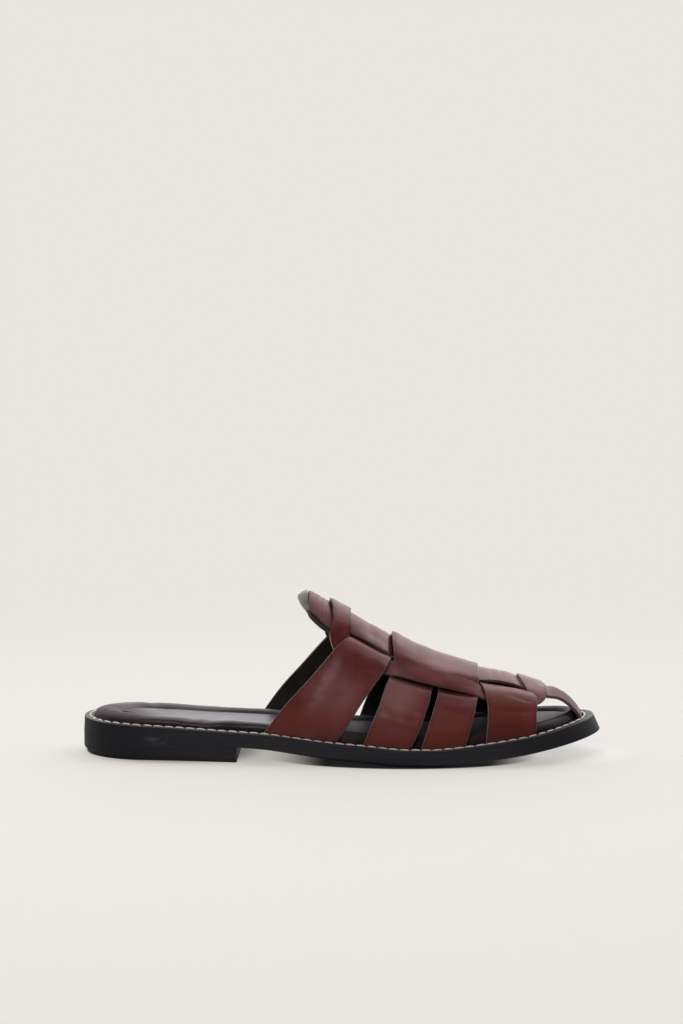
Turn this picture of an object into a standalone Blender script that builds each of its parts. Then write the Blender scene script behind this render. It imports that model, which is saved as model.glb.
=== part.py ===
"""Fisherman slide, right shoe: a flat leather sole with a low heel, a padded insole and a woven strap upper.

Sizes are in millimetres. In the tables x runs from the back of the heel to the toe, y from the
lateral side (negative) to the medial side, and z up from the floor. The finished parts are in metres,
with the origin on the floor under the middle of the shoe.
"""

from typing import NamedTuple

import bmesh
import bpy
import numpy as np

MM = 0.001
LENGTH = 270.0
GAP = 0.3

# Sole
BREAST_X = 82.0
WELT = 2.6
WELT_WIDTH = 4.9
SOLE_EDGE_RADIUS = 1.2
HEEL_EDGE_RADIUS = 1.5
WELT_EDGE_RADIUS = 0.5
EDGE_SHARE = 0.35
HEEL_END = 32.0
TOE_END = 44.0
END_POWER = 2.1

# Upper
WALL = 2.1
LAYER = 1.6
FOOT_INSET = 6.3
TOE_X = 261.6
TOE_CAP = 14.0
TOE_FAN_X = 232.0
TONGUE_WALL = 3.2
TONGUE_GAP = 0.5

# Insole
INSOLE_SIDE = 8.05
INSOLE_HEEL_SIDE = 5.2
INSOLE_NARROWS_X = (72.0, 84.0)
INSOLE_TOE_SIDE = 9.6
INSOLE_TOE_X = (240.0, 262.0)

# Fineness
SOLE_STATIONS = 52
OUTLINE_SAMPLES = 360
WELD_DISTANCE = 0.002
SHARP_ANGLE = 40
SLOPE_REACH = 2.0
BAND_STEPS = 16
TOE_BAND_STEPS = 15
MIDDLE_BAND_STEPS = 17
CENTRE_STRAP_STATIONS = 25
TOE_CAP_STATIONS = 8


class Width(NamedTuple):
    """Reach of the sole outline to either side of the long axis, before its ends are rounded."""

    x: float
    lateral: float
    medial: float


OUTLINE = (
    Width(0, 27.5, 31.0),
    Width(25, 29.0, 30.8),
    Width(50, 31.0, 30.6),
    Width(80, 35.0, 29.6),
    Width(112, 39.4, 31.6),
    Width(145, 44.6, 38.6),
    Width(175, 47.4, 44.6),
    Width(200, 46.0, 46.4),
    Width(225, 41.6, 44.8),
    Width(248, 35.5, 40.5),
    Width(270, 30.5, 37.5),
)


class Underside(NamedTuple):
    """Height of the outsole's underside and thickness of the outsole."""

    x: float
    height: float
    outsole: float


UNDERSIDE = (
    Underside(0, 11.3, 4.9),
    Underside(40, 9.4, 4.9),
    Underside(82, 7.6, 4.8),
    Underside(96, 6.9, 4.8),
    Underside(112, 5.0, 4.9),
    Underside(130, 3.0, 5.1),
    Underside(150, 1.5, 5.3),
    Underside(169, -0.1, 5.4),
    Underside(183, -0.05, 5.5),
    Underside(205, 1.9, 5.6),
    Underside(230, 5.2, 5.6),
    Underside(255, 9.6, 5.6),
    Underside(270, 12.5, 5.6),
)


class Last(NamedTuple):
    """Section of the last: crest height and shift, ridge radius, fullness and the medial bulge."""

    x: float
    crest: float
    shift: float
    ridge: float
    fullness: float
    bulge: float


LAST = (
    Last(110, 88.3, 3.2, 12.0, 1.70, 8.0),
    Last(118, 83.7, 3.2, 12.0, 1.70, 8.0),
    Last(127, 78.6, 3.2, 12.0, 1.70, 8.0),
    Last(140, 71.7, 3.2, 12.0, 1.72, 7.0),
    Last(158, 61.6, 3.1, 13.0, 1.76, 5.0),
    Last(171, 55.3, 3.0, 15.0, 1.82, 3.0),
    Last(185, 49.7, 2.9, 18.0, 1.90, 1.5),
    Last(199, 45.2, 2.7, 19.0, 2.05, 0.5),
    Last(212, 41.9, 2.5, 20.0, 2.20, 0.0),
    Last(225, 38.8, 2.2, 21.0, 2.40, 0.0),
    Last(237, 35.1, 2.0, 22.0, 2.60, 0.0),
    Last(249, 31.8, 1.8, 22.0, 2.70, 0.0),
    Last(262, 27.0, 1.5, 22.0, 2.80, 0.0),
)
TUCK_POWER = 5
TUCK_ENDS = 0.93


class Band(NamedTuple):
    """A strap over the foot: its back and front edge at a place around the section, and its layer.

    around is 0 on the crest and 1 at the sole, on either side.
    """

    around: float
    back: float
    front: float
    layer: float


COLLAR_BAND = (
    Band(0.00, 147.0, 163.5, -1.0),
    Band(0.20, 144.5, 162.8, -1.0),
    Band(0.34, 138.6, 161.3, -0.4),
    Band(0.46, 132.3, 158.2, 0.5),
    Band(0.58, 125.0, 153.2, 0.3),
    Band(0.70, 116.4, 147.0, 0.0),
    Band(0.82, 106.5, 140.9, 0.0),
    Band(0.92, 99.0, 135.4, 0.0),
    Band(1.00, 93.4, 131.4, 0.0),
)

TOE_BAND = (
    Band(0.00, 206.0, 228.0, -0.3),
    Band(0.22, 206.0, 228.5, -0.3),
    Band(0.36, 207.2, 232.0, -0.2),
    Band(0.46, 209.0, 235.2, 0.5),
    Band(0.57, 210.3, 236.1, 0.5),
    Band(0.69, 210.8, 235.9, 0.1),
    Band(0.82, 210.4, 235.7, 0.0),
    Band(1.00, 209.4, 235.5, 0.0),
)
MEDIAL_SET_BACK = 4.5
MEDIAL_SET_BACK_AROUND = (0.05, 0.45)


class SplitBand(NamedTuple):
    """The wide middle strap, which splits into two legs either side of a slit."""

    around: float
    back: float
    slit_back: float
    slit_front: float
    front: float
    layer: float


MIDDLE_BAND = (
    SplitBand(0.00, 161.0, 182.6, 184.4, 205.5, 1.0),
    SplitBand(0.25, 161.9, 183.0, 185.2, 205.9, 1.0),
    SplitBand(0.37, 162.6, 183.2, 185.9, 206.2, 0.2),
    SplitBand(0.45, 161.4, 182.9, 186.0, 206.1, -0.5),
    SplitBand(0.56, 158.6, 181.6, 184.7, 205.4, -0.4),
    SplitBand(0.70, 155.2, 179.0, 182.2, 203.8, 0.0),
    SplitBand(0.81, 151.6, 176.2, 179.8, 202.2, 0.0),
    SplitBand(0.93, 148.0, 172.2, 177.2, 200.1, 0.0),
    SplitBand(1.00, 145.9, 169.6, 175.6, 198.9, 0.0),
)
SLIT_STARTS = 0.46


class Centre(NamedTuple):
    """The long strap from the tongue to the toe: half width beside the crest, and its layer."""

    x: float
    half: float
    layer: float


CENTRE_STRAP = (
    Centre(118.0, 12.0, 0.0),
    Centre(123.0, 13.8, 0.0),
    Centre(128.0, 14.8, 0.0),
    Centre(140.0, 14.8, 0.0),
    Centre(150.0, 15.7, 0.0),
    Centre(160.0, 16.7, 0.0),
    Centre(185.0, 17.0, 0.0),
    Centre(206.0, 16.6, 0.15),
    Centre(215.0, 15.0, 0.6),
    Centre(222.0, 14.2, 0.5),
    Centre(230.0, 14.0, 0.0),
    Centre(241.0, 15.8, 0.0),
    Centre(249.0, 12.8, 0.0),
    Centre(261.6, 8.6, 0.0),
)


class Ring(NamedTuple):
    """A station of the closed ring strap: its middle, its half width in millimetres and its layer."""

    x: float
    around: float
    half: float
    layer: float


RING = (
    Ring(134.1, 0.000, 6.3, 1.0),
    Ring(134.2, 0.120, 6.2, 1.0),
    Ring(134.3, 0.240, 5.6, 0.9),
    Ring(134.5, 0.320, 5.0, 0.3),
    Ring(136.6, 0.388, 4.5, -0.3),
    Ring(143.5, 0.428, 4.0, -0.5),
    Ring(156.0, 0.440, 3.8, -0.5),
    Ring(163.0, 0.434, 3.9, 0.4),
    Ring(172.0, 0.424, 4.0, 0.5),
    Ring(187.0, 0.421, 4.0, 0.5),
    Ring(202.0, 0.441, 4.2, 0.5),
    Ring(210.0, 0.462, 4.2, 0.3),
    Ring(217.0, 0.482, 4.3, -0.5),
    Ring(226.0, 0.506, 4.5, -0.5),
    Ring(232.6, 0.496, 4.8, -0.4),
    Ring(235.6, 0.430, 5.1, 0.2),
    Ring(235.8, 0.336, 5.2, 0.8),
    Ring(234.3, 0.160, 6.6, 0.9),
    Ring(233.2, 0.000, 7.4, 0.9),
)
RING_AROUND_SIZE = 70.0
RING_STEPS = 48

# Tongue pad under the end of the centre strap
TONGUE_BACK_X = 115.2
TONGUE_CORNER_X = 121.5
TONGUE_FRONT_X = 129.5
TONGUE_END_POWER = 2.6
TONGUE_SIDE = 0.9
TONGUE_CURL_X = 121.0
TONGUE_CURL = 0.8
TONGUE_STEPS = 9
TONGUE_COLUMNS = 9
TONGUE_STEP_POWER = 1.4


def column(table, name):
    """Return one named column of a table as an array."""
    return np.array([getattr(row, name) for row in table], dtype=float)


def spline(places, values, wanted):
    """Read a natural cubic spline through (places, values) at the wanted places."""
    count = len(places)
    step = np.diff(places)
    matrix = np.eye(count)
    right = np.zeros(count)
    for i in range(1, count - 1):
        matrix[i, i - 1] = step[i - 1]
        matrix[i, i] = 2 * (step[i - 1] + step[i])
        matrix[i, i + 1] = step[i]
        right[i] = 6 * ((values[i + 1] - values[i]) / step[i] - (values[i] - values[i - 1]) / step[i - 1])
    bend_values = np.linalg.solve(matrix, right)
    wanted = np.asarray(wanted, dtype=float)
    i = np.clip(np.searchsorted(places, wanted) - 1, 0, count - 2)
    t = wanted - places[i]
    first = (values[i + 1] - values[i]) / step[i] - step[i] * (2 * bend_values[i] + bend_values[i + 1]) / 6
    cubic = (bend_values[i + 1] - bend_values[i]) / (6 * step[i])
    return values[i] + first * t + bend_values[i] / 2 * t**2 + cubic * t**3


def read(table, key, name, wanted):
    """Read a table's column as a smooth curve over its key column."""
    return spline(column(table, key), column(table, name), wanted)


def smooth_step(value, low, high):
    """Return 0 below low, 1 above high and a soft ramp between."""
    t = np.clip((np.asarray(value, dtype=float) - low) / (high - low), 0, 1)
    return t * t * (3 - 2 * t)


# Sole outline and profile


def end_rounding(x):
    """Return the share of the full width left at x, which falls to 0 at the heel's back and the toe."""
    heel = np.clip(1 - x / HEEL_END, 0, 1)
    toe = np.clip(1 - (LENGTH - x) / TOE_END, 0, 1)
    return (1 - heel**END_POWER) ** (1 / END_POWER) * (1 - toe**END_POWER) ** (1 / END_POWER)


def outline(x):
    """Return the lateral and medial edge of the sole at x."""
    lateral = read(OUTLINE, "x", "lateral", x)
    medial = read(OUTLINE, "x", "medial", x)
    middle = (medial - lateral) / 2
    half = (medial + lateral) / 2 * end_rounding(x)
    return middle - half, middle + half


def inset_edges(inset, stations=SOLE_STATIONS, last_x=None):
    """Return stations x with the lateral and medial edge of the outline moved inwards.

    inset is a number or a function of x. last_x cuts the outline off straight.
    """
    angle = np.linspace(0, np.pi, OUTLINE_SAMPLES)
    x = LENGTH * (1 - np.cos(angle)) / 2
    room = inset(x) if callable(inset) else np.full_like(x, inset)
    start = room[0]
    stop = LENGTH - room[-1] if last_x is None else last_x
    sweep = np.pi if last_x is None else np.pi / 2
    share = 1 - np.cos(np.linspace(0, sweep, stations))
    wanted = start + (stop - start) * share / share[-1]
    sides = []
    for edge, inward in zip(outline(x), (1, -1)):
        along_x = np.gradient(x)
        along_y = np.gradient(edge)
        length = np.hypot(along_x, along_y)
        moved_x = x - inward * along_y / length * room
        moved_y = edge + inward * along_x / length * room
        order = np.argsort(moved_x)
        sides.append(np.interp(wanted, moved_x[order], moved_y[order]))
    lateral, medial = sides
    lateral[0] = medial[0] = (lateral[0] + medial[0]) / 2
    if last_x is None:
        lateral[-1] = medial[-1] = (lateral[-1] + medial[-1]) / 2
    return wanted, lateral, medial


def underside(x):
    """Return the height of the outsole's underside, flat on the floor under the ball."""
    return np.maximum(0, read(UNDERSIDE, "x", "height", x))


def outsole_top(x):
    """Return the outsole's thickness at x."""
    return read(UNDERSIDE, "x", "outsole", x)


def sole_point(x, y, rise):
    """Return points that stand rise above the outsole's underside, square to it."""
    slope = np.arctan((underside(x + SLOPE_REACH) - underside(x - SLOPE_REACH)) / (2 * SLOPE_REACH))
    return np.stack([x - rise * np.sin(slope), y, underside(x) + rise * np.cos(slope)], axis=-1)


def sole_loop(inset, rise, last_x=None):
    """Return a closed loop round the sole, lateral side first, at an inset and a rise above the underside."""
    x, lateral, medial = inset_edges(inset, last_x=last_x)
    height = rise(x)
    there = sole_point(x, lateral, height)
    back = sole_point(x, medial, height)[::-1]
    return np.concatenate([there, back])


# Last surface


def foot_line(x):
    """Return the lateral and medial edge and the height of the line where the upper meets the sole."""
    stations, lateral, medial = inset_edges(FOOT_INSET, stations=OUTLINE_SAMPLES)
    rise = outsole_top(stations) + GAP
    lateral_line = sole_point(stations, lateral, rise)
    medial_line = sole_point(stations, medial, rise)
    height = np.interp(x, lateral_line[:, 0], lateral_line[:, 2])
    lateral_y = np.interp(x, lateral_line[:, 0], lateral_line[:, 1])
    medial_y = np.interp(x, medial_line[:, 0], medial_line[:, 1])
    return lateral_y, medial_y, height


def crest_rise(x):
    """Return the height of the last's crest over the foot line, closing in a round cap at the toe."""
    cap = np.clip(1 - (TOE_X - x) / TOE_CAP, 0, 1)
    return (read(LAST, "x", "crest", x) - foot_line(x)[2]) * np.sqrt(1 - cap**2)


def last_point(x, around):
    """Return points of the last's surface.

    around is -1 at the sole's lateral side, 0 on the crest and 1 at the medial side.
    """
    x, around = np.broadcast_arrays(np.asarray(x, dtype=float), np.asarray(around, dtype=float))
    lateral, medial, height = foot_line(x)
    middle = read(LAST, "x", "shift", x)
    ridge = read(LAST, "x", "ridge", x)
    bulge = np.where(around < 0, 0, read(LAST, "x", "bulge", x))
    reach = np.where(around < 0, middle - lateral, medial - middle) + bulge
    angle = np.abs(around) * np.pi / 2
    spread = np.sin(angle) ** 2 * (np.hypot(reach, ridge) - ridge) + ridge
    tuck = np.minimum(np.abs(around) / TUCK_ENDS, 1) ** TUCK_POWER
    side = np.sqrt(np.maximum(spread**2 - ridge**2, 0)) - bulge * tuck
    up = crest_rise(x) * np.cos(angle) ** (2 / read(LAST, "x", "fullness", x))
    return np.stack([x, middle + np.sign(around) * side, height + up], axis=-1)


def crown_point(x, beside):
    """Return points of the last's surface near its crest, by the distance beside the crest.

    Towards the toe the points fan out so that they end on the foot line.
    """
    x, beside = np.broadcast_arrays(np.asarray(x, dtype=float), np.asarray(beside, dtype=float))
    section_x = np.minimum(x, TOE_FAN_X)
    lateral, medial, _ = foot_line(section_x)
    section_middle = read(LAST, "x", "shift", section_x)
    ridge = read(LAST, "x", "ridge", x)
    bulge = np.where(beside < 0, 0, read(LAST, "x", "bulge", section_x))
    reach = np.where(beside < 0, section_middle - lateral, medial - section_middle) + bulge
    spread = (np.hypot(beside, ridge) - ridge) / (np.hypot(reach, ridge) - ridge)
    fall = (1 - spread) ** (1 / read(LAST, "x", "fullness", x))
    y = read(LAST, "x", "shift", x) + beside
    stations, toe_lateral, toe_medial = inset_edges(FOOT_INSET, stations=OUTLINE_SAMPLES)
    front = stations > TOE_FAN_X
    toe_y = np.concatenate([toe_lateral[front], toe_medial[front][::-1]])
    toe_x = np.concatenate([stations[front], stations[front][::-1]])
    set_back = toe_x.max() - np.interp(y, toe_y, toe_x)
    true_x = x - set_back * smooth_step(x, TOE_FAN_X, TOE_X)
    height = foot_line(true_x)[2]
    return np.stack([true_x, y, height + crest_rise(x) * fall], axis=-1)


def lifted(grid, lift):
    """Move a grid of surface points outwards, square to the surface."""
    along = np.gradient(grid, axis=0)
    across = np.gradient(grid, axis=1)
    normal = np.cross(along, across)
    normal /= np.linalg.norm(normal, axis=-1, keepdims=True)
    middle = normal[normal.shape[0] // 2, normal.shape[1] // 2]
    outward = 1.0 if middle[2] > 0 else -1.0
    return grid + outward * normal * lift[..., None]


# Meshes


def set_material(obj, name, colour, roughness, metallic=0.0):
    """Give an object its own material."""
    material = bpy.data.materials.new(name)
    material.use_nodes = True
    shader = material.node_tree.nodes["Principled BSDF"]
    shader.inputs["Base Color"].default_value = (*colour, 1.0)
    shader.inputs["Roughness"].default_value = roughness
    shader.inputs["Metallic"].default_value = metallic
    obj.data.materials.append(material)


def add_mesh(name, points, faces, collection):
    """Make an object from points in the tables' millimetres."""
    lateral, medial = outline(np.linspace(0, LENGTH, OUTLINE_SAMPLES))
    origin = np.array([LENGTH / 2, (lateral.min() + medial.max()) / 2, 0.0])
    mesh = bpy.data.meshes.new(name)
    mesh.from_pydata(((np.asarray(points) - origin) * MM).tolist(), [], faces)
    work = bmesh.new()
    work.from_mesh(mesh)
    bmesh.ops.remove_doubles(work, verts=work.verts, dist=WELD_DISTANCE * MM)
    bmesh.ops.recalc_face_normals(work, faces=work.faces)
    work.to_mesh(mesh)
    work.free()
    mesh.shade_smooth()
    mesh.set_sharp_from_angle(angle=np.radians(SHARP_ANGLE))
    obj = bpy.data.objects.new(name, mesh)
    collection.objects.link(obj)
    return obj


def add_loft(name, loops, collection, ring=False):
    """Join loops round the sole into a closed solid: capped, or a ring whose last loop meets its first."""
    count = len(loops[0])
    faces = []
    pairs = list(zip(range(len(loops) - 1), range(1, len(loops))))
    if ring:
        pairs.append((len(loops) - 1, 0))
    for low, high in pairs:
        for i in range(count):
            j = (i + 1) % count
            faces.append((low * count + i, low * count + j, high * count + j, high * count + i))
    if not ring:
        for start in (0, (len(loops) - 1) * count):
            for i in range(count // 2 - 1):
                far = count - 1 - i
                faces.append((start + i, start + i + 1, start + far - 1, start + far))
    return add_mesh(name, np.concatenate(loops), faces, collection)


def add_sheet(name, grid, wall, collection, keep=None, closed=False):
    """Make a strap from a grid of points on its middle surface, thickened by half its wall each way.

    keep says which cells of the grid hold leather. closed joins the last row to the first.
    """
    rows, columns = grid.shape[:2]
    faces = []
    for i in range(rows if closed else rows - 1):
        for j in range(columns - 1):
            if keep is None or keep[i, j]:
                k = (i + 1) % rows
                faces.append((i * columns + j, i * columns + j + 1, k * columns + j + 1, k * columns + j))
    obj = add_mesh(name, grid.reshape(-1, 3), faces, collection)
    loose = bmesh.new()
    loose.from_mesh(obj.data)
    bmesh.ops.delete(loose, geom=[v for v in loose.verts if not v.link_faces], context="VERTS")
    loose.to_mesh(obj.data)
    loose.free()
    solidify = obj.modifiers.new("Wall", "SOLIDIFY")
    solidify.thickness = wall * MM
    solidify.offset = 0.0
    return obj


# Sole


def build_outsole(collection):
    """The running sole: a plate with an arched waist and a sprung toe."""
    edge = SOLE_EDGE_RADIUS
    round_off = EDGE_SHARE * edge
    loops = [
        sole_loop(edge, lambda x: 0 * x),
        sole_loop(round_off, lambda x: 0 * x + round_off),
        sole_loop(0.0, lambda x: 0 * x + edge),
        sole_loop(0.0, outsole_top),
    ]
    obj = add_loft("outsole", loops, collection)
    set_material(obj, "outsole_black", (0.014, 0.014, 0.017), 0.45)


def build_heel(collection):
    """The heel block, flat on the floor and square at the breast."""
    edge = HEEL_EDGE_RADIUS
    round_off = EDGE_SHARE * edge
    loops = []
    for inset, share, offset in ((edge, 0, 0), (round_off, 0, round_off), (0, 0, edge), (0, 1, -GAP)):
        x, lateral, medial = inset_edges(inset, last_x=BREAST_X)
        height = share * underside(x) + offset
        there = np.stack([x, lateral, height], axis=-1)
        back = np.stack([x, medial, height], axis=-1)[::-1]
        loops.append(np.concatenate([there, back]))
    obj = add_loft("heel", loops, collection)
    set_material(obj, "heel_black", (0.014, 0.014, 0.017), 0.42)


def build_welt(collection):
    """The welt: a flat strip on the outsole's rim, outside the upper."""
    edge = WELT_EDGE_RADIUS
    loops = [
        sole_loop(inset, lambda x, rise=rise: outsole_top(x) + GAP + rise)
        for inset, rise in (
            (WELT_WIDTH, 0),
            (0, 0),
            (0, WELT - edge),
            (edge, WELT),
            (WELT_WIDTH, WELT),
        )
    ]
    obj = add_loft("welt", loops, collection, ring=True)
    set_material(obj, "welt_black", (0.022, 0.018, 0.018), 0.5)


def insole_side(x):
    """Return the insole's inset: out to the welt at the heel, inside the straps further forward."""
    side = INSOLE_HEEL_SIDE + (INSOLE_SIDE - INSOLE_HEEL_SIDE) * smooth_step(x, *INSOLE_NARROWS_X)
    return side + (INSOLE_TOE_SIDE - INSOLE_SIDE) * smooth_step(x, *INSOLE_TOE_X)


class Pad(NamedTuple):
    """A step of the insole's section, inwards from its side and up from the outsole."""

    inward: float
    rise: float


INSOLE_SECTION = (
    Pad(0.4, 0.0),
    Pad(0.0, 0.6),
    Pad(0.0, 3.6),
    Pad(0.7, 5.4),
    Pad(2.2, 6.6),
    Pad(4.4, 6.9),
    Pad(7.0, 6.2),
    Pad(9.5, 5.3),
)


def build_insole(collection):
    """The padded footbed, with a rolled rim round a flat panel."""
    loops = [
        sole_loop(
            lambda x, inward=pad.inward: insole_side(x) + inward,
            lambda x, rise=pad.rise: outsole_top(x) + GAP + rise,
        )
        for pad in INSOLE_SECTION
    ]
    obj = add_loft("insole", loops, collection)
    set_material(obj, "insole_brown", (0.045, 0.030, 0.028), 0.4)


# Upper


def both_sides(steps):
    """Return places around the section from the lateral foot to the medial foot, steps on each side."""
    half = np.linspace(0, 1, steps + 1)
    return np.concatenate([-half[::-1], half[1:]])


def set_back(around):
    """Return how much further back than its lateral place a strap lies on the medial side."""
    return MEDIAL_SET_BACK * smooth_step(around, *MEDIAL_SET_BACK_AROUND)


def band_grid(table, steps, columns):
    """Return the middle surface of a strap over the foot."""
    around = both_sides(steps)[:, None]
    share = np.linspace(0, 1, columns)[None, :]
    back = read(table, "around", "back", np.abs(around)) - set_back(around)
    front = read(table, "around", "front", np.abs(around)) - set_back(around)
    lift = np.interp(np.abs(around), column(table, "around"), column(table, "layer")) * LAYER
    return lifted(last_point(back + (front - back) * share, around), lift + 0 * share)


def build_band(name, table, steps, columns, collection):
    """A plain strap over the foot, from sole to sole."""
    return add_sheet(name, band_grid(table, steps, columns), WALL, collection)


def build_middle_band(name, collection, columns=4):
    """The wide middle strap with its two legs on each side."""
    around = both_sides(MIDDLE_BAND_STEPS)
    keys = ("back", "slit_back", "slit_front", "front")
    edges = [read(MIDDLE_BAND, "around", key, np.abs(around))[:, None] for key in keys]
    share = np.linspace(0, 1, columns)[None, :]
    rear_leg = edges[0] + (edges[1] - edges[0]) * share
    front_leg = edges[2] + (edges[3] - edges[2]) * share
    x = np.concatenate([rear_leg, front_leg], axis=1) - set_back(around)[:, None]
    lift = np.interp(np.abs(around), column(MIDDLE_BAND, "around"), column(MIDDLE_BAND, "layer")) * LAYER
    grid = lifted(last_point(x, around[:, None]), lift[:, None] + 0 * x)
    keep = np.ones((len(around) - 1, x.shape[1] - 1), dtype=bool)
    middle = np.abs((around[1:] + around[:-1]) / 2)
    keep[middle > SLIT_STARTS, columns - 1] = False
    return add_sheet(name, grid, WALL, collection, keep=keep)


def build_centre_strap(name, collection):
    """The long strap from the tongue over the toe."""
    run = np.linspace(CENTRE_STRAP[0].x, TOE_X - TOE_CAP, CENTRE_STRAP_STATIONS)
    cap = TOE_X - TOE_CAP * (1 - np.sin(np.linspace(0, np.pi / 2, TOE_CAP_STATIONS)))
    x = np.concatenate([run[:-1], cap])[:, None]
    beside = np.linspace(-1, 1, 7)[None, :] * read(CENTRE_STRAP, "x", "half", x)
    lift = np.interp(x, column(CENTRE_STRAP, "x"), column(CENTRE_STRAP, "layer")) * LAYER
    return add_sheet(name, lifted(crown_point(x, beside), lift + 0 * beside), WALL, collection)


def build_ring_strap(name, collection, columns=3):
    """The closed ring strap woven through the others."""
    rows = {key: column(RING, key) for key in ("x", "around", "half", "layer")}
    sized = rows["around"] * RING_AROUND_SIZE
    travel = np.concatenate([[0], np.cumsum(np.hypot(np.diff(rows["x"]), np.diff(sized)))])
    wanted = np.linspace(0, travel[-1], RING_STEPS + 1)
    x = spline(travel, rows["x"], wanted)
    side = spline(travel, sized, wanted)
    heading_x = np.gradient(x, wanted)
    heading_side = np.gradient(side, wanted)
    length = np.hypot(heading_x, heading_side)
    across = np.linspace(-1, 1, columns)[None, :] * np.interp(wanted, travel, rows["half"])[:, None]
    lift = np.interp(wanted, travel, rows["layer"])[:, None] * LAYER + 0 * across
    grid_x = x[:, None] - (heading_side / length)[:, None] * across
    around = (side[:, None] + (heading_x / length)[:, None] * across) / RING_AROUND_SIZE
    around[0] = around[-1] = 0
    loop_x = np.concatenate([grid_x, grid_x[-2:0:-1]])
    loop_around = np.concatenate([-around, around[-2:0:-1]])
    loop_lift = np.concatenate([lift, lift[-2:0:-1]])
    wrap = np.concatenate([[-1], np.arange(len(loop_x)), [0]])
    points = last_point((loop_x - set_back(loop_around))[wrap], loop_around[wrap])
    grid = lifted(points, loop_lift[wrap])[1:-1]
    return add_sheet(name, grid, WALL, collection, closed=True)


def build_upper(collection, cutters):
    """The woven upper: one solid, its straps joined where they cross."""
    upper = build_centre_strap("upper", collection)
    straps = (
        build_band("collar_band", COLLAR_BAND, BAND_STEPS, 6, cutters),
        build_middle_band("middle_band", cutters),
        build_band("toe_band", TOE_BAND, TOE_BAND_STEPS, 5, cutters),
        build_ring_strap("ring_strap", cutters),
    )
    for strap in straps:
        strap.hide_render = True
        strap.display_type = "WIRE"
        join = upper.modifiers.new(strap.name, "BOOLEAN")
        join.operation = "UNION"
        join.solver = "EXACT"
        join.object = strap
    set_material(upper, "upper_leather", (0.115, 0.030, 0.022), 0.42)


def build_tongue(collection):
    """The padded lining under the end of the centre strap, with a round tip that stands out behind it."""
    share = np.linspace(0, 1, TONGUE_STEPS)[:, None] ** TONGUE_STEP_POWER
    across = np.linspace(-1, 1, TONGUE_COLUMNS)[None, :]
    tip = TONGUE_BACK_X + (TONGUE_CORNER_X - TONGUE_BACK_X) * np.abs(across) ** TONGUE_END_POWER
    x = tip + (TONGUE_FRONT_X - tip) * share
    half = read(CENTRE_STRAP, "x", "half", np.maximum(x, CENTRE_STRAP[0].x)) - TONGUE_SIDE
    curl = np.clip((TONGUE_CURL_X - x) / (TONGUE_CURL_X - TONGUE_BACK_X), 0, 1) ** 2 * TONGUE_CURL
    lift = -(WALL / 2 + TONGUE_GAP + TONGUE_WALL / 2) - curl
    obj = add_sheet("tongue", lifted(crown_point(x, across * half), lift), TONGUE_WALL, collection)
    set_material(obj, "tongue_lining", (0.045, 0.030, 0.028), 0.45)


def clear_scene():
    """Remove the scene's objects."""
    for obj in list(bpy.data.objects):
        bpy.data.objects.remove(obj, do_unlink=True)


def main():
    """Build the slide."""
    clear_scene()
    parts = bpy.data.collections.new("fisherman_slide")
    cutters = bpy.data.collections.new("strap_solids")
    bpy.context.scene.collection.children.link(parts)
    bpy.context.scene.collection.children.link(cutters)
    build_outsole(parts)
    build_heel(parts)
    build_welt(parts)
    build_insole(parts)
    build_tongue(parts)
    build_upper(parts, cutters)


if __name__ == "__main__":
    main()
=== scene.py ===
"""Looks of the fisherman slide: black sole, padded footbed, woven oxblood straps, stitching, floor and light.

Lengths are in millimetres until a mesh is finished, with x from the back of the heel to the toe, y from
the lateral side (negative) to the medial side, and z up from the floor.
"""

import logging
import math
from collections.abc import Callable, Mapping, Sequence
from dataclasses import dataclass
from enum import Enum
from typing import Any

import bmesh
import bpy
import numpy as np
from mathutils import Matrix, Quaternion, Vector
from mathutils.kdtree import KDTree


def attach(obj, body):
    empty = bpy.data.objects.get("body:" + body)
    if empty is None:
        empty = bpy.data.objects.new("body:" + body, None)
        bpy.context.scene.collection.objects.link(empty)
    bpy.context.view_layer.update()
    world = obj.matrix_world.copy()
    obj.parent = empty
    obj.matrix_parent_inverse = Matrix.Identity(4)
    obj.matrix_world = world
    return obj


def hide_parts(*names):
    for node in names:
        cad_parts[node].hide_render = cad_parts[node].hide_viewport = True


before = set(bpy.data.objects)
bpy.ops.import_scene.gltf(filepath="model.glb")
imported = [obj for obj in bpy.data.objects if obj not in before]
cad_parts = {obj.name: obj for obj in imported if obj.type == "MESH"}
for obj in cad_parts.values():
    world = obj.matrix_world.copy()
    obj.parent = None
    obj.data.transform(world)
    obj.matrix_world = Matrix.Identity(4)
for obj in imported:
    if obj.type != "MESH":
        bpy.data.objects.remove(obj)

log = logging.getLogger("fisherman_slide")

MM = 0.001
LENGTH = 270.0
ORIGIN = np.array([LENGTH / 2, -0.49, 0.0])
MEDIAL_SET_BACK = 4.5
Triple = tuple[float, float, float]
Ramp = tuple[float, float]
Patch = tuple[Triple, Triple, float, float]


# Measuring


def spline(places: np.ndarray, values: np.ndarray, wanted: np.ndarray) -> np.ndarray:
    """Read a natural cubic spline.

    Args:
        places: rising places.
        values: value at each place.
        wanted: where to read it.

    Returns:
        The spline's values at wanted.
    """
    count = len(places)
    step = np.diff(places)
    matrix = np.eye(count)
    right = np.zeros(count)
    for i in range(1, count - 1):
        matrix[i, i - 1 : i + 2] = step[i - 1], 2 * (step[i - 1] + step[i]), step[i]
        right[i] = 6 * ((values[i + 1] - values[i]) / step[i] - (values[i] - values[i - 1]) / step[i - 1])
    bend = np.linalg.solve(matrix, right)
    wanted = np.asarray(wanted, dtype=float)
    i = np.clip(np.searchsorted(places, wanted) - 1, 0, count - 2)
    t = wanted - places[i]
    first = (values[i + 1] - values[i]) / step[i] - step[i] * (2 * bend[i] + bend[i + 1]) / 6
    return values[i] + first * t + bend[i] / 2 * t**2 + (bend[i + 1] - bend[i]) / (6 * step[i]) * t**3


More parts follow.
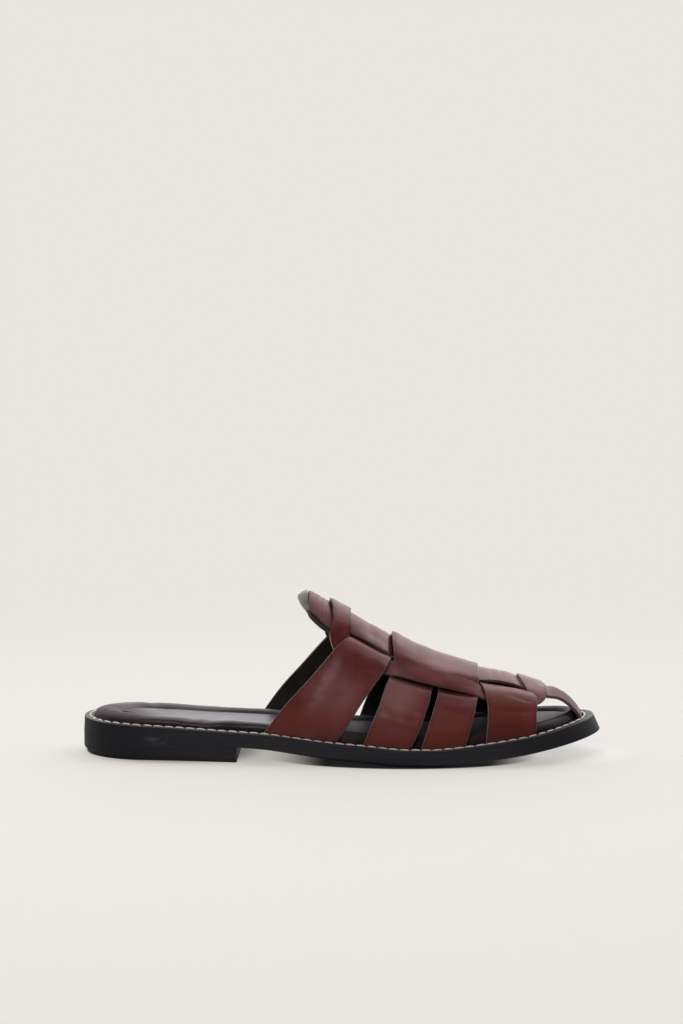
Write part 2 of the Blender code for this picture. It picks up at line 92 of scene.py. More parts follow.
def smooth_step(value: Any, low: float, high: float) -> np.ndarray:
    """Return 0 below low, 1 above high and a soft ramp between."""
    t = np.clip((np.asarray(value, dtype=float) - low) / (high - low), 0, 1)
    return t * t * (3 - 2 * t)


def span(value: Any, starts: Ramp, ends: Ramp) -> np.ndarray:
    """Return 1 between two places and 0 beyond them, with a soft ramp at each."""
    return smooth_step(value, *starts) * (1 - smooth_step(value, *ends))


def hump(away: np.ndarray, width: float) -> np.ndarray:
    """Return 1 where away is 0, dying out softly over width."""
    return np.exp(-((away / width) ** 2))


def travelled(points: np.ndarray) -> np.ndarray:
    """Return the distance from the first point to each, along the line through them."""
    return np.concatenate([[0], np.cumsum(np.linalg.norm(np.diff(points, axis=0), axis=1))])


class Table:
    """Measurements in rows under named columns; the first column is the place they are taken at."""

    def __init__(self, columns: str, *rows: Sequence[float]) -> None:
        """Keep the rows.

        Args:
            columns: the columns' names, with spaces between them.
            rows: the numbers of each row.
        """
        self.values = dict(zip(columns.split(), np.array(rows, dtype=float).T))
        self.places = self.values[columns.split()[0]]

    def curve(self, column: str, where: Any) -> np.ndarray:
        """Read a column as a smooth curve."""
        return spline(self.places, self.values[column], where)

    def line(self, column: str, where: Any, soften: float) -> np.ndarray:
        """Read a column as straight runs.

        Args:
            column: its name.
            where: the places to read it at.
            soften: the length over which corners are rounded off.

        Returns:
            The values there.
        """
        values = self.values[column]
        shifts = np.linspace(-soften, soften, 7)
        return sum(np.interp(where + shift, self.places, values) for shift in shifts) / len(shifts)


OUTLINE = Table(
    "x lateral medial",
    (0, 27.5, 31.0),
    (25, 29.0, 30.8),
    (50, 31.0, 30.6),
    (80, 35.0, 29.6),
    (112, 39.4, 31.6),
    (145, 44.6, 38.6),
    (175, 47.4, 44.6),
    (200, 46.0, 46.4),
    (225, 41.6, 44.8),
    (248, 35.5, 40.5),
    (270, 30.5, 37.5),
)

UNDERSIDE = Table(
    "x height outsole",
    (0, 11.3, 4.9),
    (40, 9.4, 4.9),
    (82, 7.6, 4.8),
    (96, 6.9, 4.8),
    (112, 5.0, 4.9),
    (130, 3.0, 5.1),
    (150, 1.5, 5.3),
    (169, -0.1, 5.4),
    (183, -0.05, 5.5),
    (205, 1.9, 5.6),
    (230, 5.2, 5.6),
    (255, 9.6, 5.6),
    (270, 12.5, 5.6),
)

LAST = Table(
    "x crest shift ridge fullness bulge",
    (110, 88.3, 3.2, 12.0, 1.70, 8.0),
    (118, 83.7, 3.2, 12.0, 1.70, 8.0),
    (127, 78.6, 3.2, 12.0, 1.70, 8.0),
    (140, 71.7, 3.2, 12.0, 1.72, 7.0),
    (158, 61.6, 3.1, 13.0, 1.76, 5.0),
    (171, 55.3, 3.0, 15.0, 1.82, 3.0),
    (185, 49.7, 2.9, 18.0, 1.90, 1.5),
    (199, 45.2, 2.7, 19.0, 2.05, 0.5),
    (212, 41.9, 2.5, 20.0, 2.20, 0.0),
    (225, 38.8, 2.2, 21.0, 2.40, 0.0),
    (237, 35.1, 2.0, 22.0, 2.60, 0.0),
    (249, 31.8, 1.8, 22.0, 2.70, 0.0),
    (262, 27.0, 1.5, 22.0, 2.80, 0.0),
)


@dataclass(frozen=True)
class SolePattern:
    """The sole's outline and side profile, which every other piece is measured from."""

    gap: float = 0.3
    heel_end: float = 32.0
    toe_end: float = 44.0
    end_power: float = 2.1
    samples: int = 720
    slope_reach: float = 2.0
    middle_inset: float = 14.0

    def edges(self, x: np.ndarray) -> tuple[np.ndarray, np.ndarray]:
        """Find the outline, rounded off at the heel and the toe.

        Args:
            x: places along the sole.

        Returns:
            The lateral and medial edge there.
        """
        heel = np.clip(1 - x / self.heel_end, 0, 1)
        toe = np.clip(1 - (LENGTH - x) / self.toe_end, 0, 1)
        power = self.end_power
        share = (1 - heel**power) ** (1 / power) * (1 - toe**power) ** (1 / power)
        lateral, medial = OUTLINE.curve("lateral", x), OUTLINE.curve("medial", x)
        half = (medial + lateral) / 2 * share
        return (medial - lateral) / 2 - half, (medial - lateral) / 2 + half

    def inset_edges(
        self, inset: Any, stations: int, last_x: float | None = None
    ) -> tuple[np.ndarray, np.ndarray, np.ndarray]:
        """Move the outline inwards.

        Args:
            inset: a distance, or a function that gives it for x and the side (-1 lateral, 1 medial).
            stations: how many places along x to give.
            last_x: where the outline is cut off straight, if it is.

        Returns:
            The stations' x, and the lateral and medial edge there.
        """
        x = LENGTH * (1 - np.cos(np.linspace(0, np.pi, self.samples))) / 2
        rooms = [inset(x, side) if callable(inset) else np.full_like(x, inset) for side in (-1, 1)]
        start = rooms[0][0]
        stop = LENGTH - rooms[0][-1] if last_x is None else last_x
        share = 1 - np.cos(np.linspace(0, np.pi if last_x is None else np.pi / 2, stations))
        wanted = start + (stop - start) * share / share[-1]
        sides = []
        for edge, inward, room in zip(self.edges(x), (1, -1), rooms):
            along_x, along_y = np.gradient(x), np.gradient(edge)
            length = np.hypot(along_x, along_y)
            moved_x = x - inward * along_y / length * room
            moved_y = edge + inward * along_x / length * room
            order = np.argsort(moved_x)
            sides.append(np.interp(wanted, moved_x[order], moved_y[order]))
        lateral, medial = sides
        lateral[0] = medial[0] = (lateral[0] + medial[0]) / 2
        if last_x is None:
            lateral[-1] = medial[-1] = (lateral[-1] + medial[-1]) / 2
        return wanted, lateral, medial

    def underside(self, x: Any) -> np.ndarray:
        """Return the height of the outsole's underside, flat on the floor under the ball."""
        return np.maximum(0, UNDERSIDE.curve("height", x))

    def top(self, x: Any) -> np.ndarray:
        """Return the outsole's thickness at x."""
        return UNDERSIDE.curve("outsole", x)

    def bed(self, x: Any, rise: float = 0.0) -> np.ndarray:
        """Return a height above the underside that clears the outsole, and rise more."""
        return self.top(x) + self.gap + rise

    def slope(self, x: Any) -> np.ndarray:
        """Return the angle at which the outsole climbs at x."""
        reach = self.slope_reach
        return np.arctan((self.underside(x + reach) - self.underside(x - reach)) / (2 * reach))

    def above(self, x: np.ndarray, y: np.ndarray, rise: np.ndarray) -> np.ndarray:
        """Return points that stand rise above the outsole's underside, square to it."""
        slope = self.slope(x)
        return np.stack([x - rise * np.sin(slope), y, self.underside(x) + rise * np.cos(slope)], axis=-1)

    def ring(self, inset: Any, rise: Callable[[np.ndarray], np.ndarray], stations: int) -> np.ndarray:
        """Lay a loop of points round the sole.

        Args:
            inset: distance in from the outline, as for inset_edges; None lays the loop on the middle line.
            rise: gives the height above the underside for x.
            stations: places along x on each side.

        Returns:
            The loop, lateral side first, from the heel's back.
        """
        x, lateral, medial = self.inset_edges(self.middle_inset if inset is None else inset, stations)
        if inset is None:
            lateral = medial = (lateral + medial) / 2
        height = rise(x)
        return np.concatenate([self.above(x, lateral, height), self.above(x, medial, height)[::-1]])


@dataclass(frozen=True)
class LastShape:
    """The last that the straps lie on."""

    pattern: SolePattern
    foot_inset: float = 6.3
    toe_x: float = 260.2
    toe_cap: float = 14.0
    toe_fan_x: float = 232.0
    toe_fan: float = 0.35
    tuck_power: float = 5.0
    tuck_ends: float = 0.93
    around_size: float = 70.0
    around_reach: float = 0.002
    reach: float = 0.2
    set_back_starts: Ramp = (0.05, 0.45)

    def foot_line(self, x: np.ndarray) -> tuple[np.ndarray, np.ndarray, np.ndarray]:
        """Find the line where the upper meets the sole.

        Args:
            x: places along the sole.

        Returns:
            Its lateral and medial edge and its height there.
        """
        stations, *sides = self.pattern.inset_edges(self.foot_inset, self.pattern.samples)
        rise = self.pattern.bed(stations)
        lateral, medial = (self.pattern.above(stations, side, rise).T for side in sides)
        return np.interp(x, *lateral[:2]), np.interp(x, *medial[:2]), np.interp(x, lateral[0], lateral[2])

    def crest_rise(self, x: np.ndarray) -> np.ndarray:
        """Return the crest's height over the foot line, closing in a round cap at the toe."""
        cap = np.clip(1 - (self.toe_x - x) / self.toe_cap, 0, 1)
        return (LAST.curve("crest", x) - self.foot_line(x)[2]) * np.sqrt(1 - cap**2)

    def side_point(self, x: np.ndarray, around: np.ndarray) -> np.ndarray:
        """Find surface points by their place round the foot.

        Args:
            x: places along the foot.
            around: places round it, from -1 at the lateral sole over 0 on the crest to 1.

        Returns:
            The points.
        """
        lateral, medial, height = self.foot_line(x)
        middle, ridge = LAST.curve("shift", x), LAST.curve("ridge", x)
        bulge = np.where(around < 0, 0, LAST.curve("bulge", x))
        reach = np.where(around < 0, middle - lateral, medial - middle) + bulge
        angle = np.abs(around) * np.pi / 2
        spread = np.sin(angle) ** 2 * (np.hypot(reach, ridge) - ridge) + ridge
        tuck = np.minimum(np.abs(around) / self.tuck_ends, 1) ** self.tuck_power
        side = np.sqrt(np.maximum(spread**2 - ridge**2, 0)) - bulge * tuck
        up = self.crest_rise(x) * np.cos(angle) ** (2 / LAST.curve("fullness", x))
        return np.stack([x, middle + np.sign(around) * side, height + up], axis=-1)

    def crown_point(self, x: np.ndarray, beside: np.ndarray) -> np.ndarray:
        """Find surface points by their distance from the crest; they fan out over the toe.

        Args:
            x: places along the crest.
            beside: distance from the crest, lateral side negative.

        Returns:
            The points.
        """
        section_x = np.minimum(x, self.toe_fan_x)
        lateral, medial, _ = self.foot_line(section_x)
        section_middle = LAST.curve("shift", section_x)
        ridge = LAST.curve("ridge", x)
        bulge = np.where(beside < 0, 0, LAST.curve("bulge", section_x))
        reach = np.where(beside < 0, section_middle - lateral, medial - section_middle) + bulge
        spread = (np.hypot(beside, ridge) - ridge) / (np.hypot(reach, ridge) - ridge)
        fall = (1 - spread) ** (1 / LAST.curve("fullness", x))
        y = LAST.curve("shift", x) + beside
        stations, toe_lateral, toe_medial = self.pattern.inset_edges(self.foot_inset, self.pattern.samples)
        front = stations > self.toe_fan_x
        toe_y = np.concatenate([toe_lateral[front], toe_medial[front][::-1]])
        toe_x = np.concatenate([stations[front], stations[front][::-1]])
        set_back = (toe_x.max() - np.interp(y, toe_y, toe_x)) * self.toe_fan
        true_x = x - set_back * smooth_step(x, self.toe_fan_x, self.toe_x)
        height = self.foot_line(true_x)[2]
        return np.stack([true_x, y, height + self.crest_rise(x) * fall], axis=-1)

    def lifted(self, surface: Callable, x: np.ndarray, across: np.ndarray, lift: np.ndarray) -> np.ndarray:
        """Move surface points outwards, square to the surface.

        Args:
            surface: side_point or crown_point.
            x: first coordinate of each point.
            across: second coordinate of each point.
            lift: how far out each point goes.

        Returns:
            The moved points.
        """
        low, high = across - self.reach, across + self.reach
        if surface == self.side_point:
            low, high = (np.clip(across + step, -1, 1) for step in (-self.around_reach, self.around_reach))
        behind, ahead = x - self.reach, np.minimum(x + self.reach, self.toe_x)
        along = surface(ahead, across) - surface(behind, across)
        over = surface(x, high) - surface(x, low)
        normal = np.cross(along, over)
        normal /= np.maximum(np.linalg.norm(normal, axis=-1, keepdims=True), 1e-9)
        return surface(x, across) + normal * np.asarray(lift)[..., None]

    def set_back(self, around: np.ndarray) -> np.ndarray:
        """Return how much further back a strap lies on the medial side than on the lateral side."""
        return MEDIAL_SET_BACK * smooth_step(around, *self.set_back_starts)


# Shader nodes


class Workings:
    """The nodes of one finish."""

    def __init__(self, tree: bpy.types.NodeTree) -> None:
        """Start on a node tree."""
        self.tree = tree

    def node(self, kind: str, settings: Mapping[str, Any], sockets: Mapping[Any, Any]) -> bpy.types.Node:
        """Add a node.

        Args:
            kind: the node's type.
            settings: its settings; "stops" holds a ramp's (place, colour) pairs.
            sockets: values or links by the name or number of the input.

        Returns:
            The node.
        """
        made = self.tree.nodes.new(kind)
        for name, value in settings.items():
            if name == "stops":
                while len(made.color_ramp.elements) < len(value):
                    made.color_ramp.elements.new(1.0)
                for stop, (place, colour) in zip(made.color_ramp.elements, value):
                    stop.position = place
                    stop.color = (*colour, 1.0)
            else:
                setattr(made, name, value)
        for name, value in sockets.items():
            socket = made.inputs[name]
            if isinstance(value, Amount):
                self.tree.links.new(value.socket, socket)
            elif isinstance(value, bpy.types.NodeSocket):
                self.tree.links.new(value, socket)
            elif isinstance(value, tuple) and len(value) == 3 and socket.type == "RGBA":
                socket.default_value = (*value, 1.0)
            else:
                socket.default_value = value
        return made

    def here(self) -> bpy.types.NodeSocket:
        """Return the place of the shaded point, in metres."""
        return self.node("ShaderNodeTexCoord", {}, {}).outputs["Object"]

    def noise(self, size: float, detail: float, stretch: Triple = (1, 1, 1), seed: float = 0.0) -> "Amount":
        """Make soft random blotches.

        Args:
            size: their size in millimetres.
            detail: how much finer detail they have.
            stretch: how much longer they are along each axis.
            seed: moves the pattern.

        Returns:
            An amount round 0.5.
        """
        scale = tuple(1 / (part * size * MM) for part in stretch)
        sockets = {"Vector": self.here(), "Scale": scale, "Location": (seed, seed, 0)}
        place = self.node("ShaderNodeMapping", {}, sockets).outputs[0]
        made = self.node("ShaderNodeTexNoise", {}, {"Vector": place, "Scale": 1.0, "Detail": detail})
        return Amount(self, made.outputs["Fac"])

    def cells(self, size: float) -> "Amount":
        """Make a pebbled grain.

        Args:
            size: the pebbles' size, in millimetres.

        Returns:
            Their height.
        """
        sockets = {"Vector": self.here(), "Scale": 1 / (size * MM)}
        made = self.node("ShaderNodeTexVoronoi", {"feature": "SMOOTH_F1"}, sockets)
        return Amount(self, made.outputs["Distance"])

    def vector_maths(self, operation: str, *parts: Any) -> bpy.types.Node:
        """Add a Vector Math node."""
        return self.node("ShaderNodeVectorMath", {"operation": operation}, dict(enumerate(parts)))

    def distance(self, place: Triple, size: Triple = (1.0, 1.0, 1.0)) -> "Amount":
        """Measure how far the shaded point lies from a place.

        Args:
            place: the place, in metres.
            size: the length that counts as 1 along each axis, in metres.

        Returns:
            The distance, in sizes.
        """
        away = self.vector_maths("SUBTRACT", self.here(), place).outputs[0]
        scaled = self.vector_maths("DIVIDE", away, size).outputs[0]
        return Amount(self, self.vector_maths("LENGTH", scaled).outputs[1])

    def outside(self, patch: Patch) -> "Amount":
        """Return 0 inside a patch (its place, its size, and where its rim starts and ends), 1 outside."""
        place, size, low, high = patch
        return self.distance(place, size).rise(low, high)

    def attribute(self, name: str) -> "Amount":
        """Return an amount that is stored on the mesh."""
        return Amount(self, self.node("ShaderNodeAttribute", {"attribute_name": name}, {}).outputs["Fac"])

    def blend(self, share: Any, first: Any, second: Any) -> bpy.types.NodeSocket:
        """Mix two colours, all second where share is 1."""
        sockets = {0: share, 6: first, 7: second}
        return self.node("ShaderNodeMix", {"data_type": "RGBA"}, sockets).outputs[2]

    def ramp(self, amount: "Amount", *stops: tuple[float, Triple]) -> bpy.types.NodeSocket:
        """Turn an amount into a colour through stops."""
        return self.node("ShaderNodeValToRGB", {"stops": stops}, {"Fac": amount}).outputs["Color"]

    def bump(self, height: "Amount", depth: float) -> bpy.types.NodeSocket:
        """Return the normal of a surface with that height, depth millimetres from low to high."""
        sockets = {"Height": height, "Distance": depth * MM, "Strength": 1.0}
        return self.node("ShaderNodeBump", {}, sockets).outputs["Normal"]


class Amount:
    """A number on a shader socket, so that sums are written as plain expressions."""

    def __init__(self, workings: Workings, socket: bpy.types.NodeSocket) -> None:
        """Keep the socket and the nodes that it belongs to."""
        self.workings = workings
        self.socket = socket

    def maths(self, operation: str, first: Any, second: Any) -> "Amount":
        """Add a Math node."""
        made = self.workings.node("ShaderNodeMath", {"operation": operation}, {0: first, 1: second})
        return Amount(self.workings, made.outputs[0])

    def __add__(self, other: Any) -> "Amount":
        """Return self + other."""
        return self.maths("ADD", self, other)

    def __radd__(self, other: Any) -> "Amount":
        """Return other + self."""
        return self.maths("ADD", other, self)

    def __sub__(self, other: Any) -> "Amount":
        """Return self - other."""
        return self.maths("SUBTRACT", self, other)

    def __rsub__(self, other: Any) -> "Amount":
        """Return other - self."""
        return self.maths("SUBTRACT", other, self)

    def __mul__(self, other: Any) -> "Amount":
        """Return self * other."""
        return self.maths("MULTIPLY", self, other)

    def rise(self, low: float, high: float) -> "Amount":
        """Read the amount as a soft step.

        Args:
            low: where the step starts.
            high: where it ends.

        Returns:
            An amount, 0 below low and 1 above high.
        """
        settings = {"interpolation_type": "SMOOTHSTEP"}
        sockets = {"Value": self, "From Min": low, "From Max": high}
        return Amount(self.workings, self.workings.node("ShaderNodeMapRange", settings, sockets).outputs[0])


# Finishes


@dataclass(frozen=True)
class Finish:
    """What every finish has: a name, a colour and a gloss."""

    name: str
    colour: Triple
    roughness: float

    def material(self) -> bpy.types.Material:
        """Make the material, once."""
        found = bpy.data.materials.get(self.name)
        if found:
            return found
        made = bpy.data.materials.new(self.name)
        made.use_nodes = True
        made.diffuse_color = (*self.colour, 1.0)
        shader = made.node_tree.nodes["Principled BSDF"]
        workings = Workings(made.node_tree)
        shader.inputs["Base Color"].default_value = (*self.colour, 1.0)
        for name, value in self.surface(workings).items():
            if isinstance(value, Amount):
                value = value.socket
            if isinstance(value, bpy.types.NodeSocket):
                made.node_tree.links.new(value, shader.inputs[name])
            else:
                shader.inputs[name].default_value = value
        return made

    def surface(self, workings: Workings) -> dict[str, Any]:
        """Work out the shader's inputs.

        Args:
            workings: the nodes of the finish.

        Returns:
            Values and links by the name of the input.
        """
        raise NotImplementedError


@dataclass(frozen=True)
class PaintedLightPlace:
    """A soft-edged place where a finish takes another colour: a painted highlight where it is paler, painted
    shade where it is darker.
    """

    place: Triple
    size: Triple
    share: float
    colour: Triple

    def laid_on(self, workings: Workings, colour: bpy.types.NodeSocket) -> bpy.types.NodeSocket:
        """Return the colour with this place blended in."""
        near = 1 - workings.distance(self.place, self.size).rise(0.25, 1.0)
        return workings.blend(near * self.share, colour, self.colour)


@dataclass(frozen=True)
class BurnishedLeather(Finish):
    """Smooth leather, hand burnished: cloudy colour, darker towards cut edges, fine grain, faint lines,
    painted highlights and painted shade.
    """

    dark: Triple = (0.085, 0.011, 0.009)
    light: Triple = (0.240, 0.060, 0.056)
    tan: Triple = (0.165, 0.030, 0.021)
    painted_tuck_shade: Triple = (0.012, 0.005, 0.004)
    dull: Patch = ((0.121, 0.0, 0.026), (0.024, 0.030, 0.022), 0.3, 1.0)
    painted_light_places: tuple[PaintedLightPlace, ...] = (
        # The first four are painted highlights: a pale sheen on the collar's and middle strap's lateral side
        # and round the tongue end.
        PaintedLightPlace((0.029, -0.026, 0.035), (0.016, 0.022, 0.016), 0.50, (0.36, 0.19, 0.18)),
        PaintedLightPlace((-0.004, -0.029, 0.035), (0.020, 0.022, 0.022), 0.18, (0.36, 0.19, 0.19)),
        PaintedLightPlace((-0.008, -0.004, 0.076), (0.018, 0.018, 0.016), 0.32, (0.40, 0.22, 0.24)),
        PaintedLightPlace((0.046, -0.014, 0.045), (0.036, 0.012, 0.012), 0.14, (0.36, 0.19, 0.19)),
        # These two are painted shade, low on the toe strap's lateral side and over the toe.
        PaintedLightPlace((0.083, -0.036, 0.016), (0.018, 0.020, 0.020), 0.35, (0.070, 0.010, 0.008)),
        PaintedLightPlace((0.117, 0.000, 0.028), (0.017, 0.030, 0.022), 0.55, (0.055, 0.018, 0.018)),
    )

    def surface(self, workings: Workings) -> dict[str, Any]:
        """Work out the shader's inputs.

        Args:
            workings: the nodes of the finish.

        Returns:
            Values and links by the name of the input.
        """
        clouds = workings.noise(26, 2.0) * 0.7 + workings.noise(7, 3.0, seed=4) * 0.3
        colour = workings.ramp(clouds, (0.32, self.dark), (0.50, self.colour), (0.70, self.light))
        colour = workings.blend(workings.noise(34, 2.0, seed=12).rise(0.42, 0.62), colour, self.tan)
        edge = 1 - workings.attribute("edge").rise(0.2, 3.2)
        colour = workings.blend(edge * 0.45, colour, self.dark)
        # Painted highlights and painted shade, laid on in set places.
        for tone in self.painted_light_places:
            colour = tone.laid_on(workings, colour)
        # Painted shade where the leather lies tucked under another strap.
        colour = workings.blend(workings.attribute("tuck") * 0.92, colour, self.painted_tuck_shade)
        scuffs = workings.noise(1.6, 4.0, stretch=(7, 2, 1), seed=9).rise(0.66, 0.80)
        colour = workings.blend(scuffs * 0.20, colour, (0.30, 0.13, 0.10))
        dull = 1 - workings.outside(self.dull)
        grain = workings.cells(0.75) * 0.55 + workings.noise(0.5, 2.0) * 0.45
        height = grain * 0.12 + workings.noise(5, 4.0, stretch=(1.6, 1, 1), seed=2) * 0.5
        return {
            "Base Color": colour,
            "Roughness": self.roughness + (workings.noise(6, 3.0, seed=7) - 0.5) * 0.22 + dull * 0.30,
            "Specular IOR Level": 0.36,
            "Normal": workings.bump(height, 0.35),
        }


@dataclass(frozen=True)
class CutEdge(Finish):
    """The raw edge of a strap, paler than its face."""

    def surface(self, workings: Workings) -> dict[str, Any]:
        """Work out the shader's inputs.

        Args:
            workings: the nodes of the finish.

        Returns:
            Values and links by the name of the input.
        """
        fibres = workings.noise(0.9, 4.0)
        dark = tuple(0.45 * part for part in self.colour)
        return {
            "Base Color": workings.ramp(fibres, (0.3, dark), (0.62, self.colour)),
            "Roughness": self.roughness,
            "Normal": workings.bump(fibres, 0.12),
        }


@dataclass(frozen=True)
class SoftLining(Finish):
    """Lining leather and footbed leather: fine pores, soft creases and a satin sheen."""

    crease: float = 0.3
    worn: Triple = (0.10, 0.075, 0.072)

    def surface(self, workings: Workings) -> dict[str, Any]:
        """Work out the shader's inputs.

        Args:
            workings: the nodes of the finish.

        Returns:
            Values and links by the name of the input.
        """
        clouds = workings.noise(18, 3.0) * 0.75 + workings.noise(2.5, 3.0, seed=3) * 0.25
        dark = tuple(0.55 * part for part in self.colour)
        colour = workings.ramp(clouds, (0.34, dark), (0.52, self.colour), (0.74, self.worn))
        creases = workings.noise(5, 5.0, stretch=(2.4, 1, 1), seed=5)
        height = creases * self.crease + workings.cells(0.6) * 0.10
        return {
            "Base Color": colour,
            "Roughness": self.roughness + (clouds - 0.5) * 0.3,
            "Normal": workings.bump(height, 0.5),
        }


@dataclass(frozen=True)
class FootbedLeather(SoftLining):
    """Footbed leather, darker on the rim than on the panel, with painted shade under the straps."""

    rim: Triple = (0.026, 0.012, 0.014)
    from_heel: Triple = (-0.09, 0.0, 0.02)
    back: Patch = ((-0.122, -0.012, 0.02), (0.032, 0.030, 1.0), 0.5, 1.0)

    def surface(self, workings: Workings) -> dict[str, Any]:
        """Work out the shader's inputs.

        Args:
            workings: the nodes of the finish.

        Returns:
            Values and links by the name of the input.
        """
        inputs = super().surface(workings)
        panel = workings.attribute("panel")
        away = workings.distance(self.from_heel)
        ahead = away.rise(0.074, 0.092) * (1 - away.rise(0.162, 0.190) * 0.35)
        # Painted shade: ahead of the heel, under the straps, the footbed takes most of the rim's dark colour.
        shaded = workings.blend(ahead * 0.85, inputs["Base Color"], self.rim)
        inputs["Base Color"] = workings.blend(panel, self.rim, shaded)
        under = away.rise(0.096, 0.114) * (1 - away.rise(0.165, 0.185))
        back = 1 - workings.outside(self.back)
        inputs["Roughness"] = inputs["Roughness"] + ahead * 0.28 + under * 0.3 + back * 0.3
        inputs["Specular IOR Level"] = 0.36
        inputs["Specular Tint"] = (1.0, 0.93, 0.96, 1.0)
        return inputs


@dataclass(frozen=True)
class SoleBlack(Finish):
    """Black sole edge, inked and burnished in long level strokes, with a rubbed place on the heel's side and
    painted light towards the heel's back and the toe.
    """

    rubbed: Triple = (0.045, 0.045, 0.052)
    rub: Patch = ((-0.0945, -0.031, 0.0105), (0.009, 0.012, 0.004), 0.3, 1.0)
    rub_colour: Triple = (0.048, 0.048, 0.054)
    # Painted light towards the heel's back and the toe: by default painted shade, darker and more matt; the
    # welt's top takes a pale painted highlight there instead.
    ends: tuple[float, float] = (0.080, 0.128)
    end_painted_light: Triple = (0.005, 0.005, 0.007)
    end_roughness: float = 0.2

    def surface(self, workings: Workings) -> dict[str, Any]:
        """Work out the shader's inputs.

        Args:
            workings: the nodes of the finish.

        Returns:
            Values and links by the name of the input.
        """
        strokes = workings.noise(1.1, 4.0, stretch=(26, 26, 1))
        wear = workings.noise(9, 5.0, stretch=(2, 2, 1), seed=6).rise(0.56, 0.82) * 0.25
        scratches = workings.noise(1.3, 3.0, stretch=(4, 4, 1), seed=3).rise(0.40, 0.66)
        rub = (1 - workings.outside(self.rub)) * scratches
        colour = workings.blend(strokes.rise(0.35, 0.75) * 0.4 + wear, self.colour, self.rubbed)
        height = strokes * 0.5 + workings.noise(0.6, 3.0) * 0.25
        # Painted light at the ends: shade on the sole's edge, a pale highlight on the welt's top.
        ends = workings.distance((0.0, 0.0, 0.02)).rise(*self.ends)
        colour = workings.blend(ends * (0.75 + wear), colour, self.end_painted_light)
        return {
            "Specular IOR Level": 0.24,
            "Base Color": workings.blend(rub, colour, self.rub_colour),
            "Roughness": self.roughness + (strokes - 0.5) * 0.2 + ends * self.end_roughness,
            "Normal": workings.bump(height, 0.13),
        }


@dataclass(frozen=True)
class WaxedThread(Finish):
    """Twisted cream thread."""

    def surface(self, workings: Workings) -> dict[str, Any]:
        """Work out the shader's inputs.

        Args:
            workings: the nodes of the finish.

        Returns:
            Values and links by the name of the input.
        """
        place = workings.node("ShaderNodeUVMap", {"uv_map": "UVMap"}, {}).outputs[0]
        settings = {"wave_type": "BANDS", "bands_direction": "DIAGONAL"}
        wave = workings.node("ShaderNodeTexWave", settings, {"Vector": place, "Scale": 3.0})
        twist = Amount(workings, wave.outputs["Fac"])
        stain = workings.noise(3.0, 3.0)
        dark = tuple(0.55 * part for part in self.colour)
        shade = workings.blend(twist * 0.18 + stain * 0.25, self.colour, dark)
        return {"Base Color": shade, "Roughness": self.roughness, "Normal": workings.bump(twist, 0.12)}


@dataclass(frozen=True)
class PaleFloor(Finish):
    """Matt pale floor that fades out into the backdrop's colour; it gives off a painted fill light, weaker
    near the shoe and stronger under the toe, and has a painted black shadow where the sole rests.
    """

    fades: tuple[float, float] = (0.22, 0.62)
    # Painted light: the floor gives off a fill light, weaker by the heel and the ball and stronger under the
    # toe.
    painted_fill_light: Triple = (0.453, 0.432, 0.401)
    dense: Triple = (0.74, 0.715, 0.675)
    weak_fill_light: Triple = (0.15, 0.145, 0.14)
    # Painted shadow: near-black floor where the sole rests.
    deep: Triple = (0.012, 0.012, 0.012)
    painted_toe_light: Triple = (0.56, 0.55, 0.53)
    # Patches: heel and ball weaken the painted fill light, oval and ends shape the painted shadow, toe takes
    # the stronger light.
    heel: Patch = ((-0.086, 0.0, 0.0), (0.044, 0.040, 1.0), 0.7, 1.15)
    ball: Patch = ((0.040, 0.0, 0.0), (0.050, 0.050, 1.0), 0.75, 1.1)
    oval: Patch = ((0.031, -0.012, 0.0), (0.073, 0.0402, 1.0), 0.92, 1.0)
    ends: Patch = ((0.034, -0.040, 0.0), (0.078, 1.0, 1.0), 0.52, 1.0)
    toe: Patch = ((0.118, 0.0, 0.0), (0.040, 0.044, 1.0), 0.35, 1.0)

    def surface(self, workings: Workings) -> dict[str, Any]:
        """Work out the shader's inputs.

        Args:
            workings: the nodes of the finish.

        Returns:
            Values and links by the name of the input.
        """
        tone = tuple(0.985 * part for part in self.colour)
        plain = workings.blend(workings.noise(40, 2.0), self.colour, tone)
        # Painted shadow where the sole rests, and painted fill light, weaker round the shoe and stronger
        # under the toe.
        outside_painted_shadow = 1 - (1 - workings.outside(self.oval)) * (1 - workings.outside(self.ends))
        toe = workings.outside(self.toe)
        away = workings.outside(self.heel) * workings.outside(self.ball) * outside_painted_shadow
        dense = workings.blend(outside_painted_shadow, self.deep, self.dense)
        weak_fill_light = workings.blend(outside_painted_shadow, self.deep, self.weak_fill_light)
        return {
            "Base Color": workings.blend(away, dense, plain),
            "Roughness": self.roughness,
            "Specular IOR Level": 0.2,
            "Emission Color": workings.blend(away, weak_fill_light, workings.blend(toe, self.painted_toe_light, self.painted_fill_light)),
            "Emission Strength": 1.0,
            "Alpha": 1 - workings.distance((0.0, 0.0, 0.0)).rise(*self.fades),
        }


OXBLOOD = BurnishedLeather("oxblood_leather", (0.165, 0.029, 0.031), 0.36)
STRAP_LINING = SoftLining("strap_lining", (0.028, 0.022, 0.016), 0.5, crease=0.2, worn=(0.048, 0.040, 0.030))
STRAP_EDGE = CutEdge("strap_cut_edge", (0.165, 0.098, 0.085), 0.5)
FOOTBED_LEATHER = FootbedLeather("footbed_leather", (0.060, 0.038, 0.042), 0.34, worn=(0.105, 0.072, 0.080))
